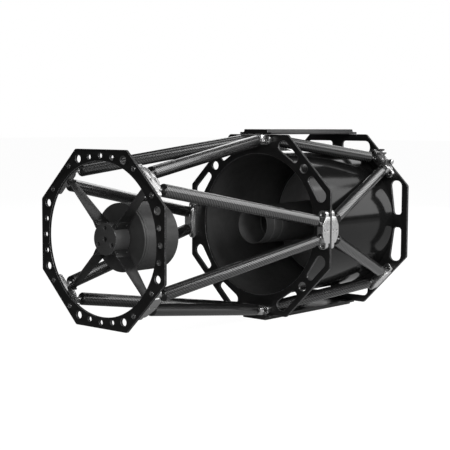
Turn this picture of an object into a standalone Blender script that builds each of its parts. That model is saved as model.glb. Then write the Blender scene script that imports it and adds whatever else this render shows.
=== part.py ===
"""Twelve-inch open-truss Ritchey-Chretien telescope tube, built from its separate pieces.

Metres, +Z up.  The aperture looks along -Y, the optical axis is parallel to Y at x = 0, and
z = 0 is the outer face of the lower dovetail plate.  Sizes below are in millimetres and
STATION values are distances behind the front face of the front ring.  Profiles are lists of
(radius, station), and outlines of a plate are lists of 2-D points.
"""
import math

import bmesh
import bpy
from mathutils import Matrix, Vector

MM = 0.001
GAP = 0.3

# ---- driving dimensions (mm) ---------------------------------------------------------------
AXIS_HEIGHT = 238.2
MIDDLE_OF_LENGTH = 505.0
OCTAGON_CUT = 2.0 - math.sqrt(2.0)

RING_THICK = 6.0
FRONT_STATION = 0.0
MID_STATION = 532.4
REAR_STATION = 869.6
FRONT_HALF = 195.0
FRONT_BORE = 170.0
BODY_HALF = 225.3
MID_BORE = 178.0
REAR_BORE = 62.0

BRACKET_BASE_THICK = 14.0
BRACKET_BASE_HALF = 47.0
BRACKET_BASE_CORNER = 8.0
BRACKET_BLOCK_HALF = 32.0
BRACKET_SHOULDER = 18.0
BRACKET_NOSE_HALF = 11.0
BRACKET_HEIGHT = 28.5
BRACKET_BOLT = 38.0
FRONT_BOLT_RADIUS = 4.4
FRONT_BOLT_HOLE = 5.4
BODY_BOLT_RADIUS = 3.2
BODY_BOLT_HOLE = 3.6
BOLT_HEAD_RADIUS = 5.5
FRONT_BRACKET_RADIUS = 183.0
BODY_BRACKET_RADIUS = 213.0

TUBE_RADIUS = 14.4
TUBE_WALL = 1.8
CAP_LENGTH = 13.0
CAP_STUD_RADIUS = 3.5
CAP_BORE_RADIUS = 1.5

HUB_RADIUS = 35.5
HUB_STATION = (13.0, 55.0)
HUB_BOLT_RECESS = 4.6
HUB_SCREW_RECESS = 3.7
HUB_SCREW_CIRCLE = 24.6
HUB_RECESS_DEPTH = 8.0
VANE_FOOT_TIP = 54.0
VANE_END = 170.4
SECONDARY_FACE = 59.0
SECONDARY_BACK = 98.0
SECONDARY_BAFFLE_RADIUS = 77.0
SECONDARY_BAFFLE_STATION = (65.0, 165.0)
SECONDARY_BAFFLE_WALL = 2.0
SECONDARY_MIRROR_RADIUS = 65.0

SHROUD_RADIUS = 183.0
SHROUD_WALL = 2.4
PRIMARY_RADIUS = 152.4
PRIMARY_STATION = 806.0
PRIMARY_THICK = 40.0
PRIMARY_FOCAL_LENGTH = 914.0
PRIMARY_BORE = 55.5
SNOUT_RADIUS = 47.2
SNOUT_STATION = 513.0
SNOUT_RIDGES = (62.0, 30.0)
BAFFLE_RADIUS = 53.0
BAFFLE_WALL = 1.9
CELL_STATION = (852.0, 864.0)
CELL_BORE = 56.0
BAFFLE_FLANGE_RADIUS = 63.0
CELL_SUPPORT_ANGLES = (30.0, 150.0, 270.0)
CELL_SUPPORT_CIRCLE = 130.0

FAN_CIRCLE = 118.0
FAN_OPENING = 33.5
FAN_ANGLES = (90.0, 210.0, 330.0)
FAN_HALF = 36.0
FAN_STATION = (875.9, 895.9)
FAN_ARM_ANGLES = (30.0, 150.0, 270.0)
FAN_BLADES = 5

DOVETAIL_STATION = (522.0, 887.0)
DOVETAIL_WIDE_HALF = 50.8
DOVETAIL_NARROW_HALF = 36.5
DOVETAIL_STEP = 231.2
DOVETAIL_BOLTS = (535.4, 552.0, 856.0, 872.6)

FOCUS_STATION = (905.3, 985.0)
FOCUS_BODY_RADIUS = 50.0
FOCUS_HOUSING = ((-36.0, 924.0, -66.0), (36.0, 966.0, -28.0))
DRAWTUBE_RADIUS = 44.4
DRAWTUBE_HOLLOW = 41.0
EYEPIECE_BORE = 25.6
EYEPIECE_DEPTH = 14.0
DRIVE_SHAFT_RADIUS = 3.0
DRIVE_SHAFT_DROP = 47.9
DRIVE_SHAFT_STATION = 945.0
LOCK_STATION = 931.0
LOCK_SHANK_RADIUS = 2.4

SHOE_STATION = (838.0, 868.0)

DIAGONALS = (("upper_right", 45.0), ("upper_left", 135.0), ("lower_left", 225.0), ("lower_right", 315.0))
CARDINALS = (("right", 0.0), ("top", 90.0), ("left", 180.0), ("bottom", 270.0))

# ---- scene and collections -----------------------------------------------------------------
for old in list(bpy.data.objects):
    bpy.data.objects.remove(old)


def new_collection(name):
    collection = bpy.data.collections.new(name)
    bpy.context.scene.collection.children.link(collection)
    return collection


PARTS = new_collection("open_truss_telescope")
CUTTERS = new_collection("cutters")


def finish(name, colour, roughness, metallic):
    material = bpy.data.materials.new(name)
    material.use_nodes = True
    shader = material.node_tree.nodes["Principled BSDF"]
    shader.inputs["Base Color"].default_value = (*colour, 1.0)
    shader.inputs["Roughness"].default_value = roughness
    shader.inputs["Metallic"].default_value = metallic
    return material


FINISHES = {
    "satin_black": ((0.012, 0.012, 0.013), 0.42, 0.6),
    "satin_grey": ((0.060, 0.060, 0.062), 0.45, 0.6),
    "silver": ((0.62, 0.63, 0.64), 0.32, 1.0),
    "carbon": ((0.020, 0.020, 0.022), 0.25, 0.0),
    "gloss_black": ((0.010, 0.010, 0.010), 0.20, 0.2),
    "matt_black": ((0.020, 0.020, 0.020), 0.75, 0.0),
    "mirror": ((0.85, 0.86, 0.87), 0.03, 1.0),
    "steel": ((0.45, 0.45, 0.46), 0.30, 1.0),
    "plastic": ((0.015, 0.015, 0.015), 0.55, 0.0),
}


# ---- placing -------------------------------------------------------------------------------
def world(x, station, z):
    """A point in metres from millimetres: x, distance behind the front ring, height over the axis."""
    return Vector((x * MM, (station - MIDDLE_OF_LENGTH) * MM, (z + AXIS_HEIGHT) * MM))


def around(angle, station=0.0):
    """Local X becomes the radial direction at this angle, and local Z runs counter-clockwise."""
    return Matrix.Translation(world(0, station, 0)) @ Matrix.Rotation(-math.radians(angle), 4, "Y")


def polar(radius, offset, angle, station):
    """A point at a distance along a radial direction and an offset square to it."""
    return around(angle, station) @ Vector((radius * MM, 0.0, offset * MM))


# ---- making meshes -------------------------------------------------------------------------
def mesh_object(name, mesh, kind, matrix=None, collection=None):
    item = bpy.data.objects.new(name, mesh)
    (collection or PARTS).objects.link(item)
    item.matrix_world = matrix or Matrix.Identity(4)
    if kind:
        mesh.materials.clear()
        mesh.materials.append(finish(name + "_finish", *FINISHES[kind]))
    return item


def shaded(mesh):
    """Smooth shading with the real edges kept sharp."""
    mesh.shade_smooth()
    mesh.set_sharp_from_angle(angle=math.radians(32))
    return mesh


def mesh_from(bm, name):
    mesh = bpy.data.meshes.new(name)
    bm.to_mesh(mesh)
    bm.free()
    return shaded(mesh)


def circle(radius, count, x=0.0, y=0.0):
    step = 2.0 * math.pi / count
    return [(x + radius * math.cos((i + 0.5) * step), y + radius * math.sin((i + 0.5) * step))
            for i in range(count)]


def rounded(corners, radii, count):
    """A polygon with each corner replaced by an arc of its own radius."""
    points = []
    total = len(corners)
    for i, corner in enumerate(corners):
        here = Vector(corner)
        before = (Vector(corners[i - 1]) - here).normalized()
        after = (Vector(corners[(i + 1) % total]) - here).normalized()
        if radii[i] == 0:
            points.append(tuple(here))
            continue
        half = before.angle(after) / 2.0
        centre = here + (before + after).normalized() * (radii[i] / math.sin(half))
        start = here + before * (radii[i] / math.tan(half)) - centre
        end = here + after * (radii[i] / math.tan(half)) - centre
        turn = start.angle_signed(end)
        for k in range(count + 1):
            spoke = start.copy()
            spoke.rotate(Matrix.Rotation(-turn * k / count, 2))
            points.append(tuple(centre + spoke))
    return points


def flat_mesh(name, outlines, thick):
    """A flat plate from 2-D outlines in mm: the first is its edge and the others are its holes."""
    curve = bpy.data.curves.new(name, "CURVE")
    curve.dimensions = "2D"
    curve.fill_mode = "BOTH"
    curve.extrude = thick * MM / 2.0
    for outline in outlines:
        spline = curve.splines.new("POLY")
        spline.points.add(len(outline) - 1)
        for point, (x, y) in zip(spline.points, outline):
            point.co = (x * MM, y * MM, 0.0, 1.0)
        spline.use_cyclic_u = True
    maker = bpy.data.objects.new(name, curve)
    PARTS.objects.link(maker)
    bpy.context.view_layer.update()
    depsgraph = bpy.context.evaluated_depsgraph_get()
    mesh = bpy.data.meshes.new_from_object(maker.evaluated_get(depsgraph))
    bpy.data.objects.remove(maker)
    bm = bmesh.new()
    bm.from_mesh(mesh)
    bpy.data.meshes.remove(mesh)
    bmesh.ops.remove_doubles(bm, verts=bm.verts, dist=1e-6)
    bmesh.ops.recalc_face_normals(bm, faces=bm.faces)
    return mesh_from(bm, name)


FACING_REAR = Matrix.Rotation(math.radians(90.0), 4, "X")
TURN_AXIS = Matrix.Rotation(math.radians(-90.0), 4, "X")


def turned(name, profile, steps, kind, matrix=None, collection=None):
    """A lathe-turned piece: (radius, station) pairs that run back to front down the outer side."""
    mesh = bpy.data.meshes.new(name)
    closed = profile[0][0] > 0.0
    verts = [(radius * MM, 0.0, station * MM) for radius, station in profile]
    edges = [(i, i + 1) for i in range(len(verts) - 1)]
    if closed:
        edges.append((len(verts) - 1, 0))
    mesh.from_pydata(verts, edges, [])
    base = Matrix.Translation(world(0, 0, 0)) if matrix is None else matrix
    item = mesh_object(name, mesh, kind, base @ TURN_AXIS, collection)
    screw = item.modifiers.new("Screw", "SCREW")
    screw.axis = "Z"
    screw.angle = 2.0 * math.pi
    screw.steps = steps
    screw.render_steps = steps
    screw.use_merge_vertices = True
    screw.merge_threshold = 0.00001
    screw.use_smooth_shade = False
    return item


def plain(item):
    """Replaces an object by the mesh that its modifiers make."""
    bpy.context.view_layer.update()
    depsgraph = bpy.context.evaluated_depsgraph_get()
    mesh = bpy.data.meshes.new_from_object(item.evaluated_get(depsgraph))
    item.modifiers.clear()
    item.data = shaded(mesh)
    return item


def combine(item, other, operation):
    """Joins or cuts with a Boolean and keeps the result as a plain mesh."""
    modifier = item.modifiers.new(operation.title(), "BOOLEAN")
    modifier.operation = operation
    modifier.object = other
    modifier.solver = "EXACT"
    plain(item)
    bpy.data.objects.remove(other)
    return item


def cutter(name, mesh, matrix):
    item = mesh_object(name, mesh, None, matrix, CUTTERS)
    item.hide_render = True
    item.display_type = "WIRE"
    return item


def rod_mesh(name, radius, low, high, count):
    """A round bar along local Y from low to high (mm)."""
    bm = bmesh.new()
    length = (high - low) * MM
    place = Matrix.Translation((0.0, (low + high) / 2.0 * MM, 0.0)) @ TURN_AXIS
    bmesh.ops.create_cone(bm, cap_ends=True, segments=count, radius1=radius * MM, radius2=radius * MM,
                          depth=length, matrix=place)
    return mesh_from(bm, name)


def box_mesh(name, low, high):
    bm = bmesh.new()
    size = [(b - a) * MM for a, b in zip(low, high)]
    middle = [(b + a) / 2.0 * MM for a, b in zip(low, high)]
    bmesh.ops.create_cube(bm, size=1.0, matrix=Matrix.Translation(middle) @ Matrix.Diagonal((*size, 1.0)))
    return mesh_from(bm, name)


# ---- rings ---------------------------------------------------------------------------------
def octagon(half):
    corner = half * (1.0 - OCTAGON_CUT)
    return [(half, -corner), (half, corner), (corner, half), (-corner, half),
            (-half, corner), (-half, -corner), (-corner, -half), (corner, -half)]


def spun(outline, angle):
    turn = Matrix.Rotation(math.radians(angle), 2)
    return [tuple(turn @ Vector(point)) for point in outline]


def ring_plate(name, outlines, station, kind):
    place = Matrix.Translation(world(0, station + RING_THICK / 2.0, 0)) @ FACING_REAR
    mesh_object(name, flat_mesh(name, outlines, RING_THICK), kind, place)


def window(size, side):
    """A slot beside a ring's edge: straight outside, slanting inside, wider at its far end."""
    inner_near, inner_far, outer, near, far = size
    corners = [(inner_near, near), (outer, near), (outer, far), (inner_far, far)]
    if side < 0:
        corners = [(a, -b) for a, b in reversed(corners)]
        radii = [13.0, 15.0, 8.0, 8.0]
    else:
        radii = [8.0, 8.0, 15.0, 13.0]
    return rounded(corners, radii, 2)


# Lightening holes beside each flat of the front ring: offset along it, distance out and radius.
FRONT_HOLES = ((0.0, 181.5, 5.6), (36.0, 178.0, 5.6), (-36.0, 178.0, 5.6), (71.5, 173.0, 8.6),
               (-71.5, 173.0, 8.6))
# A round hole on each diagonal of the middle ring: distance out and radius.
MID_HOLE = (203.5, 11.0)
# Slots: inner edge at the near and far ends, outer edge, then the near and far ends along the flat.
MID_WINDOW = (192.0, 177.5, 210.0, 27.0, 97.0)
REAR_WINDOW = (185.5, 173.0, 207.5, 17.0, 105.5)


def build_front_ring():
    outlines = [octagon(FRONT_HALF), circle(FRONT_BORE, 40)]
    for _, angle in CARDINALS:
        for offset, radius, size in FRONT_HOLES:
            outlines.append(spun(circle(size, 8, radius, offset), angle))
    for _, angle in DIAGONALS:
        for offset in (BRACKET_BOLT, -BRACKET_BOLT):
            outlines.append(spun(circle(FRONT_BOLT_HOLE, 6, FRONT_BRACKET_RADIUS, offset), angle))
    ring_plate("front_ring", outlines, FRONT_STATION, "satin_black")


def build_mid_ring():
    outlines = [octagon(BODY_HALF), circle(MID_BORE, 40)]
    distance, size = MID_HOLE
    for _, angle in DIAGONALS:
        outlines.append(spun(circle(size, 10, distance), angle))
        for side in (1, -1):
            outlines.append(spun(window(MID_WINDOW, side), angle))
    for _, angle in CARDINALS:
        for offset in (BRACKET_BOLT, -BRACKET_BOLT):
            outlines.append(spun(circle(BODY_BOLT_HOLE, 6, BODY_BRACKET_RADIUS, offset), angle))
    ring_plate("mid_ring", outlines, MID_STATION, "satin_black")


def build_rear_ring():
    outlines = [octagon(BODY_HALF), circle(REAR_BORE, 24)]
    for angle in FAN_ANGLES:
        outlines.append(spun(circle(FAN_OPENING, 16, FAN_CIRCLE), angle))
    for _, angle in CARDINALS:
        for side in (1, -1):
            outlines.append(spun(window(REAR_WINDOW, side), angle))
    for _, angle in DIAGONALS:
        for offset in (BRACKET_BOLT, -BRACKET_BOLT):
            outlines.append(spun(circle(BODY_BOLT_HOLE, 6, BODY_BRACKET_RADIUS, offset), angle))
    ring_plate("rear_ring", outlines, REAR_STATION, "satin_black")


# ---- brackets ------------------------------------------------------------------------------
# Seen along the ring's face: how far the base plate and the block reach in and out of the bolt line.
PLATE_INNER = -12.3
PLATE_OUTER = 9.7
BLOCK_INNER = -5.5
BLOCK_OUTER = 11.7


def bracket_half(name):
    """A base plate on the ring's face at local y = 0 and a D-shaped block that points along -Y."""
    corners = [(PLATE_INNER, -BRACKET_BASE_HALF), (PLATE_OUTER, -BRACKET_BASE_HALF),
               (PLATE_OUTER, BRACKET_BASE_HALF), (PLATE_INNER, BRACKET_BASE_HALF)]
    plate = flat_mesh("base_plate", [rounded(corners, [BRACKET_BASE_CORNER] * 4, 1)], BRACKET_BASE_THICK)
    plate.transform(Matrix.Translation((0.0, -(GAP + BRACKET_BASE_THICK / 2.0) * MM, 0.0)) @ FACING_REAR)
    half = BRACKET_BLOCK_HALF
    nose = BRACKET_NOSE_HALF
    outline = rounded([(-half, GAP), (half, GAP), (half, BRACKET_SHOULDER), (nose, BRACKET_HEIGHT),
                       (-nose, BRACKET_HEIGHT), (-half, BRACKET_SHOULDER)], [0.0, 0.0, 9.0, 14.0, 14.0, 9.0], 1)
    block = flat_mesh("block", [outline], BLOCK_OUTER - BLOCK_INNER)
    middle = (BLOCK_OUTER + BLOCK_INNER) / 2.0 * MM
    block.transform(Matrix(((0, 0, 1, middle), (0, -1, 0, 0), (1, 0, 0, 0), (0, 0, 0, 1))))
    item = mesh_object(name, plate, None)
    return combine(item, cutter("block", block, Matrix.Identity(4)), "UNION")


def bracket_mesh(kind):
    """A bracket with the two bolts that clamp it: a front, middle (two halves) or rear one."""
    item = bracket_half("bracket")
    reach = {"front": RING_THICK - GAP, "mid": RING_THICK + 5.0, "rear": RING_THICK + 4.0}[kind]
    shank = FRONT_BOLT_RADIUS if kind == "front" else BODY_BOLT_RADIUS
    if kind == "mid":
        other = bracket_half("other_half")
        other.matrix_world = Matrix.Translation((0.0, RING_THICK * MM, 0.0)) @ Matrix.Rotation(math.pi, 4, "X")
        combine(item, other, "UNION")
    for offset in (BRACKET_BOLT, -BRACKET_BOLT):
        place = Matrix.Translation((0.0, 0.0, offset * MM))
        combine(item, cutter("shank", rod_mesh("shank", shank, -5.0, reach, 6), place), "UNION")
        if kind == "rear":
            head = rod_mesh("head", BOLT_HEAD_RADIUS, RING_THICK + GAP, RING_THICK + 6.0, 6)
            combine(item, cutter("head", head, place), "UNION")
    mesh = item.data
    bpy.data.objects.remove(item)
    return mesh


def build_brackets():
    """Behind the front ring on its diagonals, through the middle ring, and ahead of the rear ring."""
    turned_back = Matrix.Rotation(math.pi, 4, "X")
    front = Matrix.Translation((FRONT_BRACKET_RADIUS * MM, 0.0, 0.0)) @ turned_back
    body = Matrix.Translation((BODY_BRACKET_RADIUS * MM, 0.0, 0.0))
    for kind, stations, face, offset in (("front", DIAGONALS, FRONT_STATION + RING_THICK, front),
                                         ("mid", CARDINALS, MID_STATION, body),
                                         ("rear", DIAGONALS, REAR_STATION, body)):
        mesh = bracket_mesh(kind)
        for label, angle in stations:
            mesh_object(kind + "_bracket_" + label, mesh.copy(), "silver", around(angle, face) @ offset)


# ---- truss ---------------------------------------------------------------------------------
# Where a strut's axis meets a bracket block: radius, sideways offset and station.
FRONT_END = (181.9, 21.6, 31.6)
MID_FRONT_END = (210.8, 21.4, 506.8)
MID_REAR_END = (210.8, 21.4, 564.0)
REAR_END = (210.8, 21.4, 844.0)


def strut_axes():
    """Pairs of end points: eight struts from front to middle ring, then eight to the rear ring."""
    front = []
    rear = []
    for _, diagonal in DIAGONALS:
        for side in (1, -1):
            cardinal = diagonal + side * 45.0
            radius, offset, station = FRONT_END
            start = polar(radius, side * offset, diagonal, station)
            radius, offset, station = MID_FRONT_END
            front.append((start, polar(radius, -side * offset, cardinal, station)))
            radius, offset, station = MID_REAR_END
            start = polar(radius, -side * offset, cardinal, station)
            radius, offset, station = REAR_END
            rear.append((start, polar(radius, side * offset, diagonal, station)))
    return front, rear


def along(start, end):
    direction = end - start
    return Matrix.Translation(start) @ direction.to_track_quat("Y", "Z").to_matrix().to_4x4()


def strut_profile(length):
    """A tube closed at each end by a bonded cap, whose drilled stud lets the tube's hollow breathe."""
    inner = TUBE_RADIUS - TUBE_WALL
    near = [(CAP_STUD_RADIUS, 0.0), (CAP_STUD_RADIUS, 5.5), (TUBE_RADIUS, CAP_LENGTH)]
    bore = [(CAP_BORE_RADIUS, 0.0), (CAP_BORE_RADIUS, CAP_LENGTH - 3.0), (inner, CAP_LENGTH)]
    outer = [(radius, length - y) for radius, y in near] + near[::-1]
    return outer + bore + [(radius, length - y) for radius, y in bore[::-1]]


def build_struts():
    for prefix, axes in zip(("front_strut_", "rear_strut_"), strut_axes()):
        for number, (start, end) in enumerate(axes, 1):
            length = (end - start).length / MM
            turned(prefix + str(number), strut_profile(length), 8, "carbon", along(start, end))


# ---- secondary assembly --------------------------------------------------------------------
def build_hub():
    front, rear = HUB_STATION
    profile = [(0.0, rear), (HUB_RADIUS, rear), (HUB_RADIUS, front + 1.0), (HUB_RADIUS - 1.0, front),
               (0.0, front)]
    hub = plain(turned("spider_hub", profile, 28, "satin_grey"))
    recess = rod_mesh("recess", HUB_BOLT_RECESS, -2.0, HUB_RECESS_DEPTH, 10)
    combine(hub, cutter("centre_recess", recess, around(0.0, front)), "DIFFERENCE")
    for angle in (90.0, 210.0, 330.0):
        place = around(angle, front) @ Matrix.Translation((HUB_SCREW_CIRCLE * MM, 0.0, 0.0))
        recess = rod_mesh("recess", HUB_SCREW_RECESS, -2.0, HUB_RECESS_DEPTH, 8)
        combine(hub, cutter("screw_recess", recess, place), "DIFFERENCE")


def build_vanes():
    front, rear = HUB_STATION
    root = HUB_RADIUS + 0.5
    blade = [(root + 0.4, front + 0.1), (VANE_END - 1.0, front + 0.3), (VANE_END - 1.0, 34.5), (48.0, rear - 0.6),
             (root + 0.4, rear - 0.6)]
    wedge = [(root, -5.5), (VANE_FOOT_TIP, -1.4), (VANE_FOOT_TIP, 1.4), (root, 5.5)]
    for label, angle in DIAGONALS:
        place = around(angle)
        vane = mesh_object("spider_vane_" + label, flat_mesh("blade", [blade], 2.0), "satin_grey", place)
        foot = flat_mesh("foot", [wedge], rear - front - 0.4)
        foot.transform(Matrix.Translation((0.0, (rear + front) / 2.0 * MM, 0.0)) @ FACING_REAR)
        combine(vane, cutter("vane_foot", foot, place), "UNION")
        tab = box_mesh("tab", (VANE_END - 4.0, front + 0.8, -6.0), (VANE_END, 33.0, 6.0))
        combine(vane, cutter("vane_tab", tab, place), "UNION")


def build_secondary():
    """A flanged cell on a stub behind the hub, the baffle sleeve around it and the convex mirror in it."""
    front, rear = SECONDARY_BAFFLE_STATION
    back = SECONDARY_BACK
    face = SECONDARY_FACE
    outer = SECONDARY_BAFFLE_RADIUS
    inner = outer - SECONDARY_BAFFLE_WALL
    stub = HUB_STATION[1] + 0.4
    body = inner - 0.4
    cell = [(0.0, back), (body, back), (body, face + 4.5), (outer, face + 4.5), (outer, face), (9.0, face),
            (9.0, stub), (0.0, stub)]
    turned("secondary_cell", cell, 28, "satin_grey")
    sleeve = [(outer, rear), (outer, front + 1.2), (outer - 0.8, front), (inner, front), (inner, rear)]
    turned("secondary_baffle", sleeve, 28, "satin_grey")
    edge = SECONDARY_MIRROR_RADIUS
    mirror = [(0.0, back + 22.3), (edge * 0.5, back + 21.7), (edge, back + 20.0), (edge, back + GAP),
              (0.0, back + GAP)]
    turned("secondary_mirror", mirror, 24, "mirror")


# ---- rear body -----------------------------------------------------------------------------
def build_shroud():
    low = MID_STATION + RING_THICK + GAP
    high = REAR_STATION - GAP
    inner = SHROUD_RADIUS - SHROUD_WALL
    wall = [(SHROUD_RADIUS, high), (SHROUD_RADIUS, low), (inner, low), (inner, high)]
    turned("light_shroud", wall, 40, "matt_black")


def build_primary_mirror():
    back = PRIMARY_STATION + PRIMARY_THICK
    profile = [(PRIMARY_BORE, back), (PRIMARY_RADIUS, back)]
    for radius in (PRIMARY_RADIUS, 105.0, PRIMARY_BORE):
        depth = (PRIMARY_RADIUS ** 2 - radius ** 2) / (4.0 * PRIMARY_FOCAL_LENGTH)
        profile.append((radius, PRIMARY_STATION + depth))
    turned("primary_mirror", profile, 36, "mirror")


def build_primary_cell():
    front, rear = CELL_STATION
    thick = rear - front
    outlines = [circle(156.5, 32), circle(CELL_BORE, 20)]
    for angle in FAN_ANGLES:
        outlines.append(spun(circle(30.0, 12, 100.0), angle))
    place = Matrix.Translation(world(0, front + thick / 2.0, 0)) @ FACING_REAR
    cell = mesh_object("primary_cell", flat_mesh("cell", outlines, thick), "satin_black", place)
    low = PRIMARY_STATION + 2.0
    high = rear + 2.0
    rim = [(158.5, high), (158.5, low), (154.4, low), (154.4, high)]
    combine(cell, plain(turned("rim", rim, 32, None, None, CUTTERS)), "UNION")
    for angle in CELL_SUPPORT_ANGLES:
        boss = rod_mesh("boss", 12.0, PRIMARY_STATION + PRIMARY_THICK + 0.4, REAR_STATION - 0.4, 8)
        spot = around(angle) @ Matrix.Translation((CELL_SUPPORT_CIRCLE * MM, 0.0, 0.0))
        combine(cell, cutter("cell_boss", boss, spot), "UNION")


def build_primary_baffle():
    """A long tube through the mirror, with two raised rings on its snout and a flange behind the cell."""
    snout = SNOUT_RADIUS
    front = SNOUT_STATION
    throat = PRIMARY_STATION - 6.0
    flange = CELL_STATION[1] + 0.6
    back = flange + 4.2
    inner = BAFFLE_RADIUS - BAFFLE_WALL
    rim = BAFFLE_FLANGE_RADIUS
    profile = [(rim, back), (rim, flange), (BAFFLE_RADIUS, flange), (BAFFLE_RADIUS, throat)]
    for ridge in SNOUT_RIDGES:
        profile += [(snout, front + ridge + 2.0), (snout + 1.3, front + ridge), (snout, front + ridge - 2.0)]
    hollow = snout - 1.8
    profile += [(snout, front), (hollow, front), (hollow, front + 66.0), (inner, throat), (inner, back)]
    turned("primary_baffle", profile, 20, "matt_black")


def build_port_flange():
    face = REAR_STATION + RING_THICK + GAP
    profile = [(58.5, 905.0), (58.5, face + 6.0), (74.0, face + 6.0), (74.0, face), (61.4, face),
               (61.4, REAR_STATION + GAP), (46.0, REAR_STATION + GAP), (46.0, 905.0)]
    turned("rear_port_flange", profile, 24, "satin_black")


# ---- cooling fans --------------------------------------------------------------------------
def fan_frame_mesh():
    front, rear = FAN_STATION
    half = FAN_HALF
    corners = [(-half, -half), (half, -half), (half, half), (-half, half)]
    shell = flat_mesh("frame", [rounded(corners, [5.0] * 4, 1), circle(FAN_OPENING, 16)], rear - front)
    shell.transform(Matrix.Translation((0.0, (rear + front) / 2.0 * MM, 0.0)) @ FACING_REAR)
    frame = mesh_object("frame", shell, None)
    for angle in FAN_ARM_ANGLES:
        arm = box_mesh("arm", (0.0, rear - 3.2, -2.0), (FAN_OPENING + 1.0, rear - GAP, 2.0))
        combine(frame, cutter("arm", arm, Matrix.Rotation(-math.radians(angle), 4, "Y")), "UNION")
    motor = rod_mesh("motor", 13.0, rear - 3.4, rear - 0.1, 10)
    combine(frame, cutter("motor", motor, Matrix.Identity(4)), "UNION")
    mesh = frame.data
    bpy.data.objects.remove(frame)
    return mesh


def build_fan_frames():
    mesh = fan_frame_mesh()
    for number, angle in enumerate(FAN_ANGLES, 1):
        place = around(angle) @ Matrix.Translation((FAN_CIRCLE * MM, 0.0, 0.0))
        mesh_object("fan_frame_" + str(number), mesh.copy(), "plastic", place)


def build_fan_rotors():
    front, rear = FAN_STATION
    low = front + 3.0
    high = rear - 3.8
    for number, angle in enumerate(FAN_ANGLES, 1):
        middle = (low + high) / 2.0
        place = Matrix.Translation(polar(FAN_CIRCLE, 0.0, angle, middle))
        hub = rod_mesh("rotor", 14.0, low - middle, high - middle, 10)
        rotor = mesh_object("fan_rotor_" + str(number), hub, "plastic", place)
        for blade in range(FAN_BLADES):
            plate = box_mesh("plate", (12.5, -0.9, -9.5), (FAN_OPENING - 1.8, 0.9, 9.5))
            twist = Matrix.Rotation(math.radians(32.0), 4, "X")
            turn = Matrix.Rotation(2.0 * math.pi * blade / FAN_BLADES, 4, "Y")
            combine(rotor, cutter("fan_blade", plate, place @ turn @ twist), "UNION")


# ---- focuser -------------------------------------------------------------------------------
def shaft_place():
    """Local Y runs along the drive shaft, towards +X."""
    centre = world(0, DRIVE_SHAFT_STATION, -DRIVE_SHAFT_DROP)
    return Matrix.Translation(centre) @ Matrix.Rotation(-math.pi / 2, 4, "Z")


def lock_place():
    """Local Y runs straight down from the optical axis, along the lock screw."""
    return Matrix.Translation(world(0, LOCK_STATION, 0)) @ Matrix.Rotation(-math.pi / 2, 4, "X")


def build_focuser_body():
    """A round body with a foot flange and a drive housing below it, bored for the drawtube and drive."""
    front, rear = FOCUS_STATION
    outer = FOCUS_BODY_RADIUS
    foot = outer + 6.0
    step = front + 12.0
    profile = [(0.0, rear), (outer, rear), (outer, step), (foot, step), (foot, front), (0.0, front)]
    body = plain(turned("focuser_body", profile, 24, "satin_black"))
    combine(body, cutter("housing", box_mesh("housing", *FOCUS_HOUSING), around(0.0)), "UNION")
    bore = rod_mesh("bore", DRAWTUBE_RADIUS + 0.8, front - 5.0, rear + 5.0, 24)
    combine(body, cutter("bore", bore, around(0.0)), "DIFFERENCE")
    shaft_bore = rod_mesh("shaft_bore", DRIVE_SHAFT_RADIUS + 0.6, -40.0, 40.0, 10)
    combine(body, cutter("shaft_bore", shaft_bore, shaft_place()), "DIFFERENCE")
    lock_bore = rod_mesh("lock_bore", LOCK_SHANK_RADIUS + 0.6, 56.0, 70.0, 8)
    combine(body, cutter("lock_bore", lock_bore, lock_place()), "DIFFERENCE")


def build_drawtube():
    """A sliding tube with a collar at its end, bored for a 2-inch eyepiece."""
    collar = FOCUS_STATION[1] + 1.5
    end = 2.0 * MIDDLE_OF_LENGTH
    seat = end - EYEPIECE_DEPTH
    profile = [(FOCUS_BODY_RADIUS, end), (FOCUS_BODY_RADIUS, collar), (DRAWTUBE_RADIUS, collar),
               (DRAWTUBE_RADIUS, 912.0), (DRAWTUBE_HOLLOW, 912.0), (DRAWTUBE_HOLLOW, seat),
               (EYEPIECE_BORE, seat), (EYEPIECE_BORE, end)]
    turned("focuser_drawtube", profile, 24, "satin_black")


def build_focus_knobs():
    shaft = DRIVE_SHAFT_RADIUS
    near = 41.5
    far = 58.0
    knob = 17.0
    coarse = [(0.0, far), (knob, far), (knob, near), (shaft, near), (shaft, -near), (knob, -near), (knob, -far),
              (0.0, -far)]
    turned("coarse_focus_knobs", coarse, 18, "silver", shaft_place())
    fine = [(0.0, far + 13.0), (10.5, far + 13.0), (10.5, far + GAP), (0.0, far + GAP)]
    turned("fine_focus_knob", fine, 14, "gloss_black", shaft_place())
    shank = LOCK_SHANK_RADIUS
    lock = [(0.0, 82.0), (8.0, 82.0), (8.0, 68.5), (shank, 68.5), (shank, 58.0), (0.0, 58.0)]
    turned("focus_lock_screw", lock, 12, "satin_black", lock_place())


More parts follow.
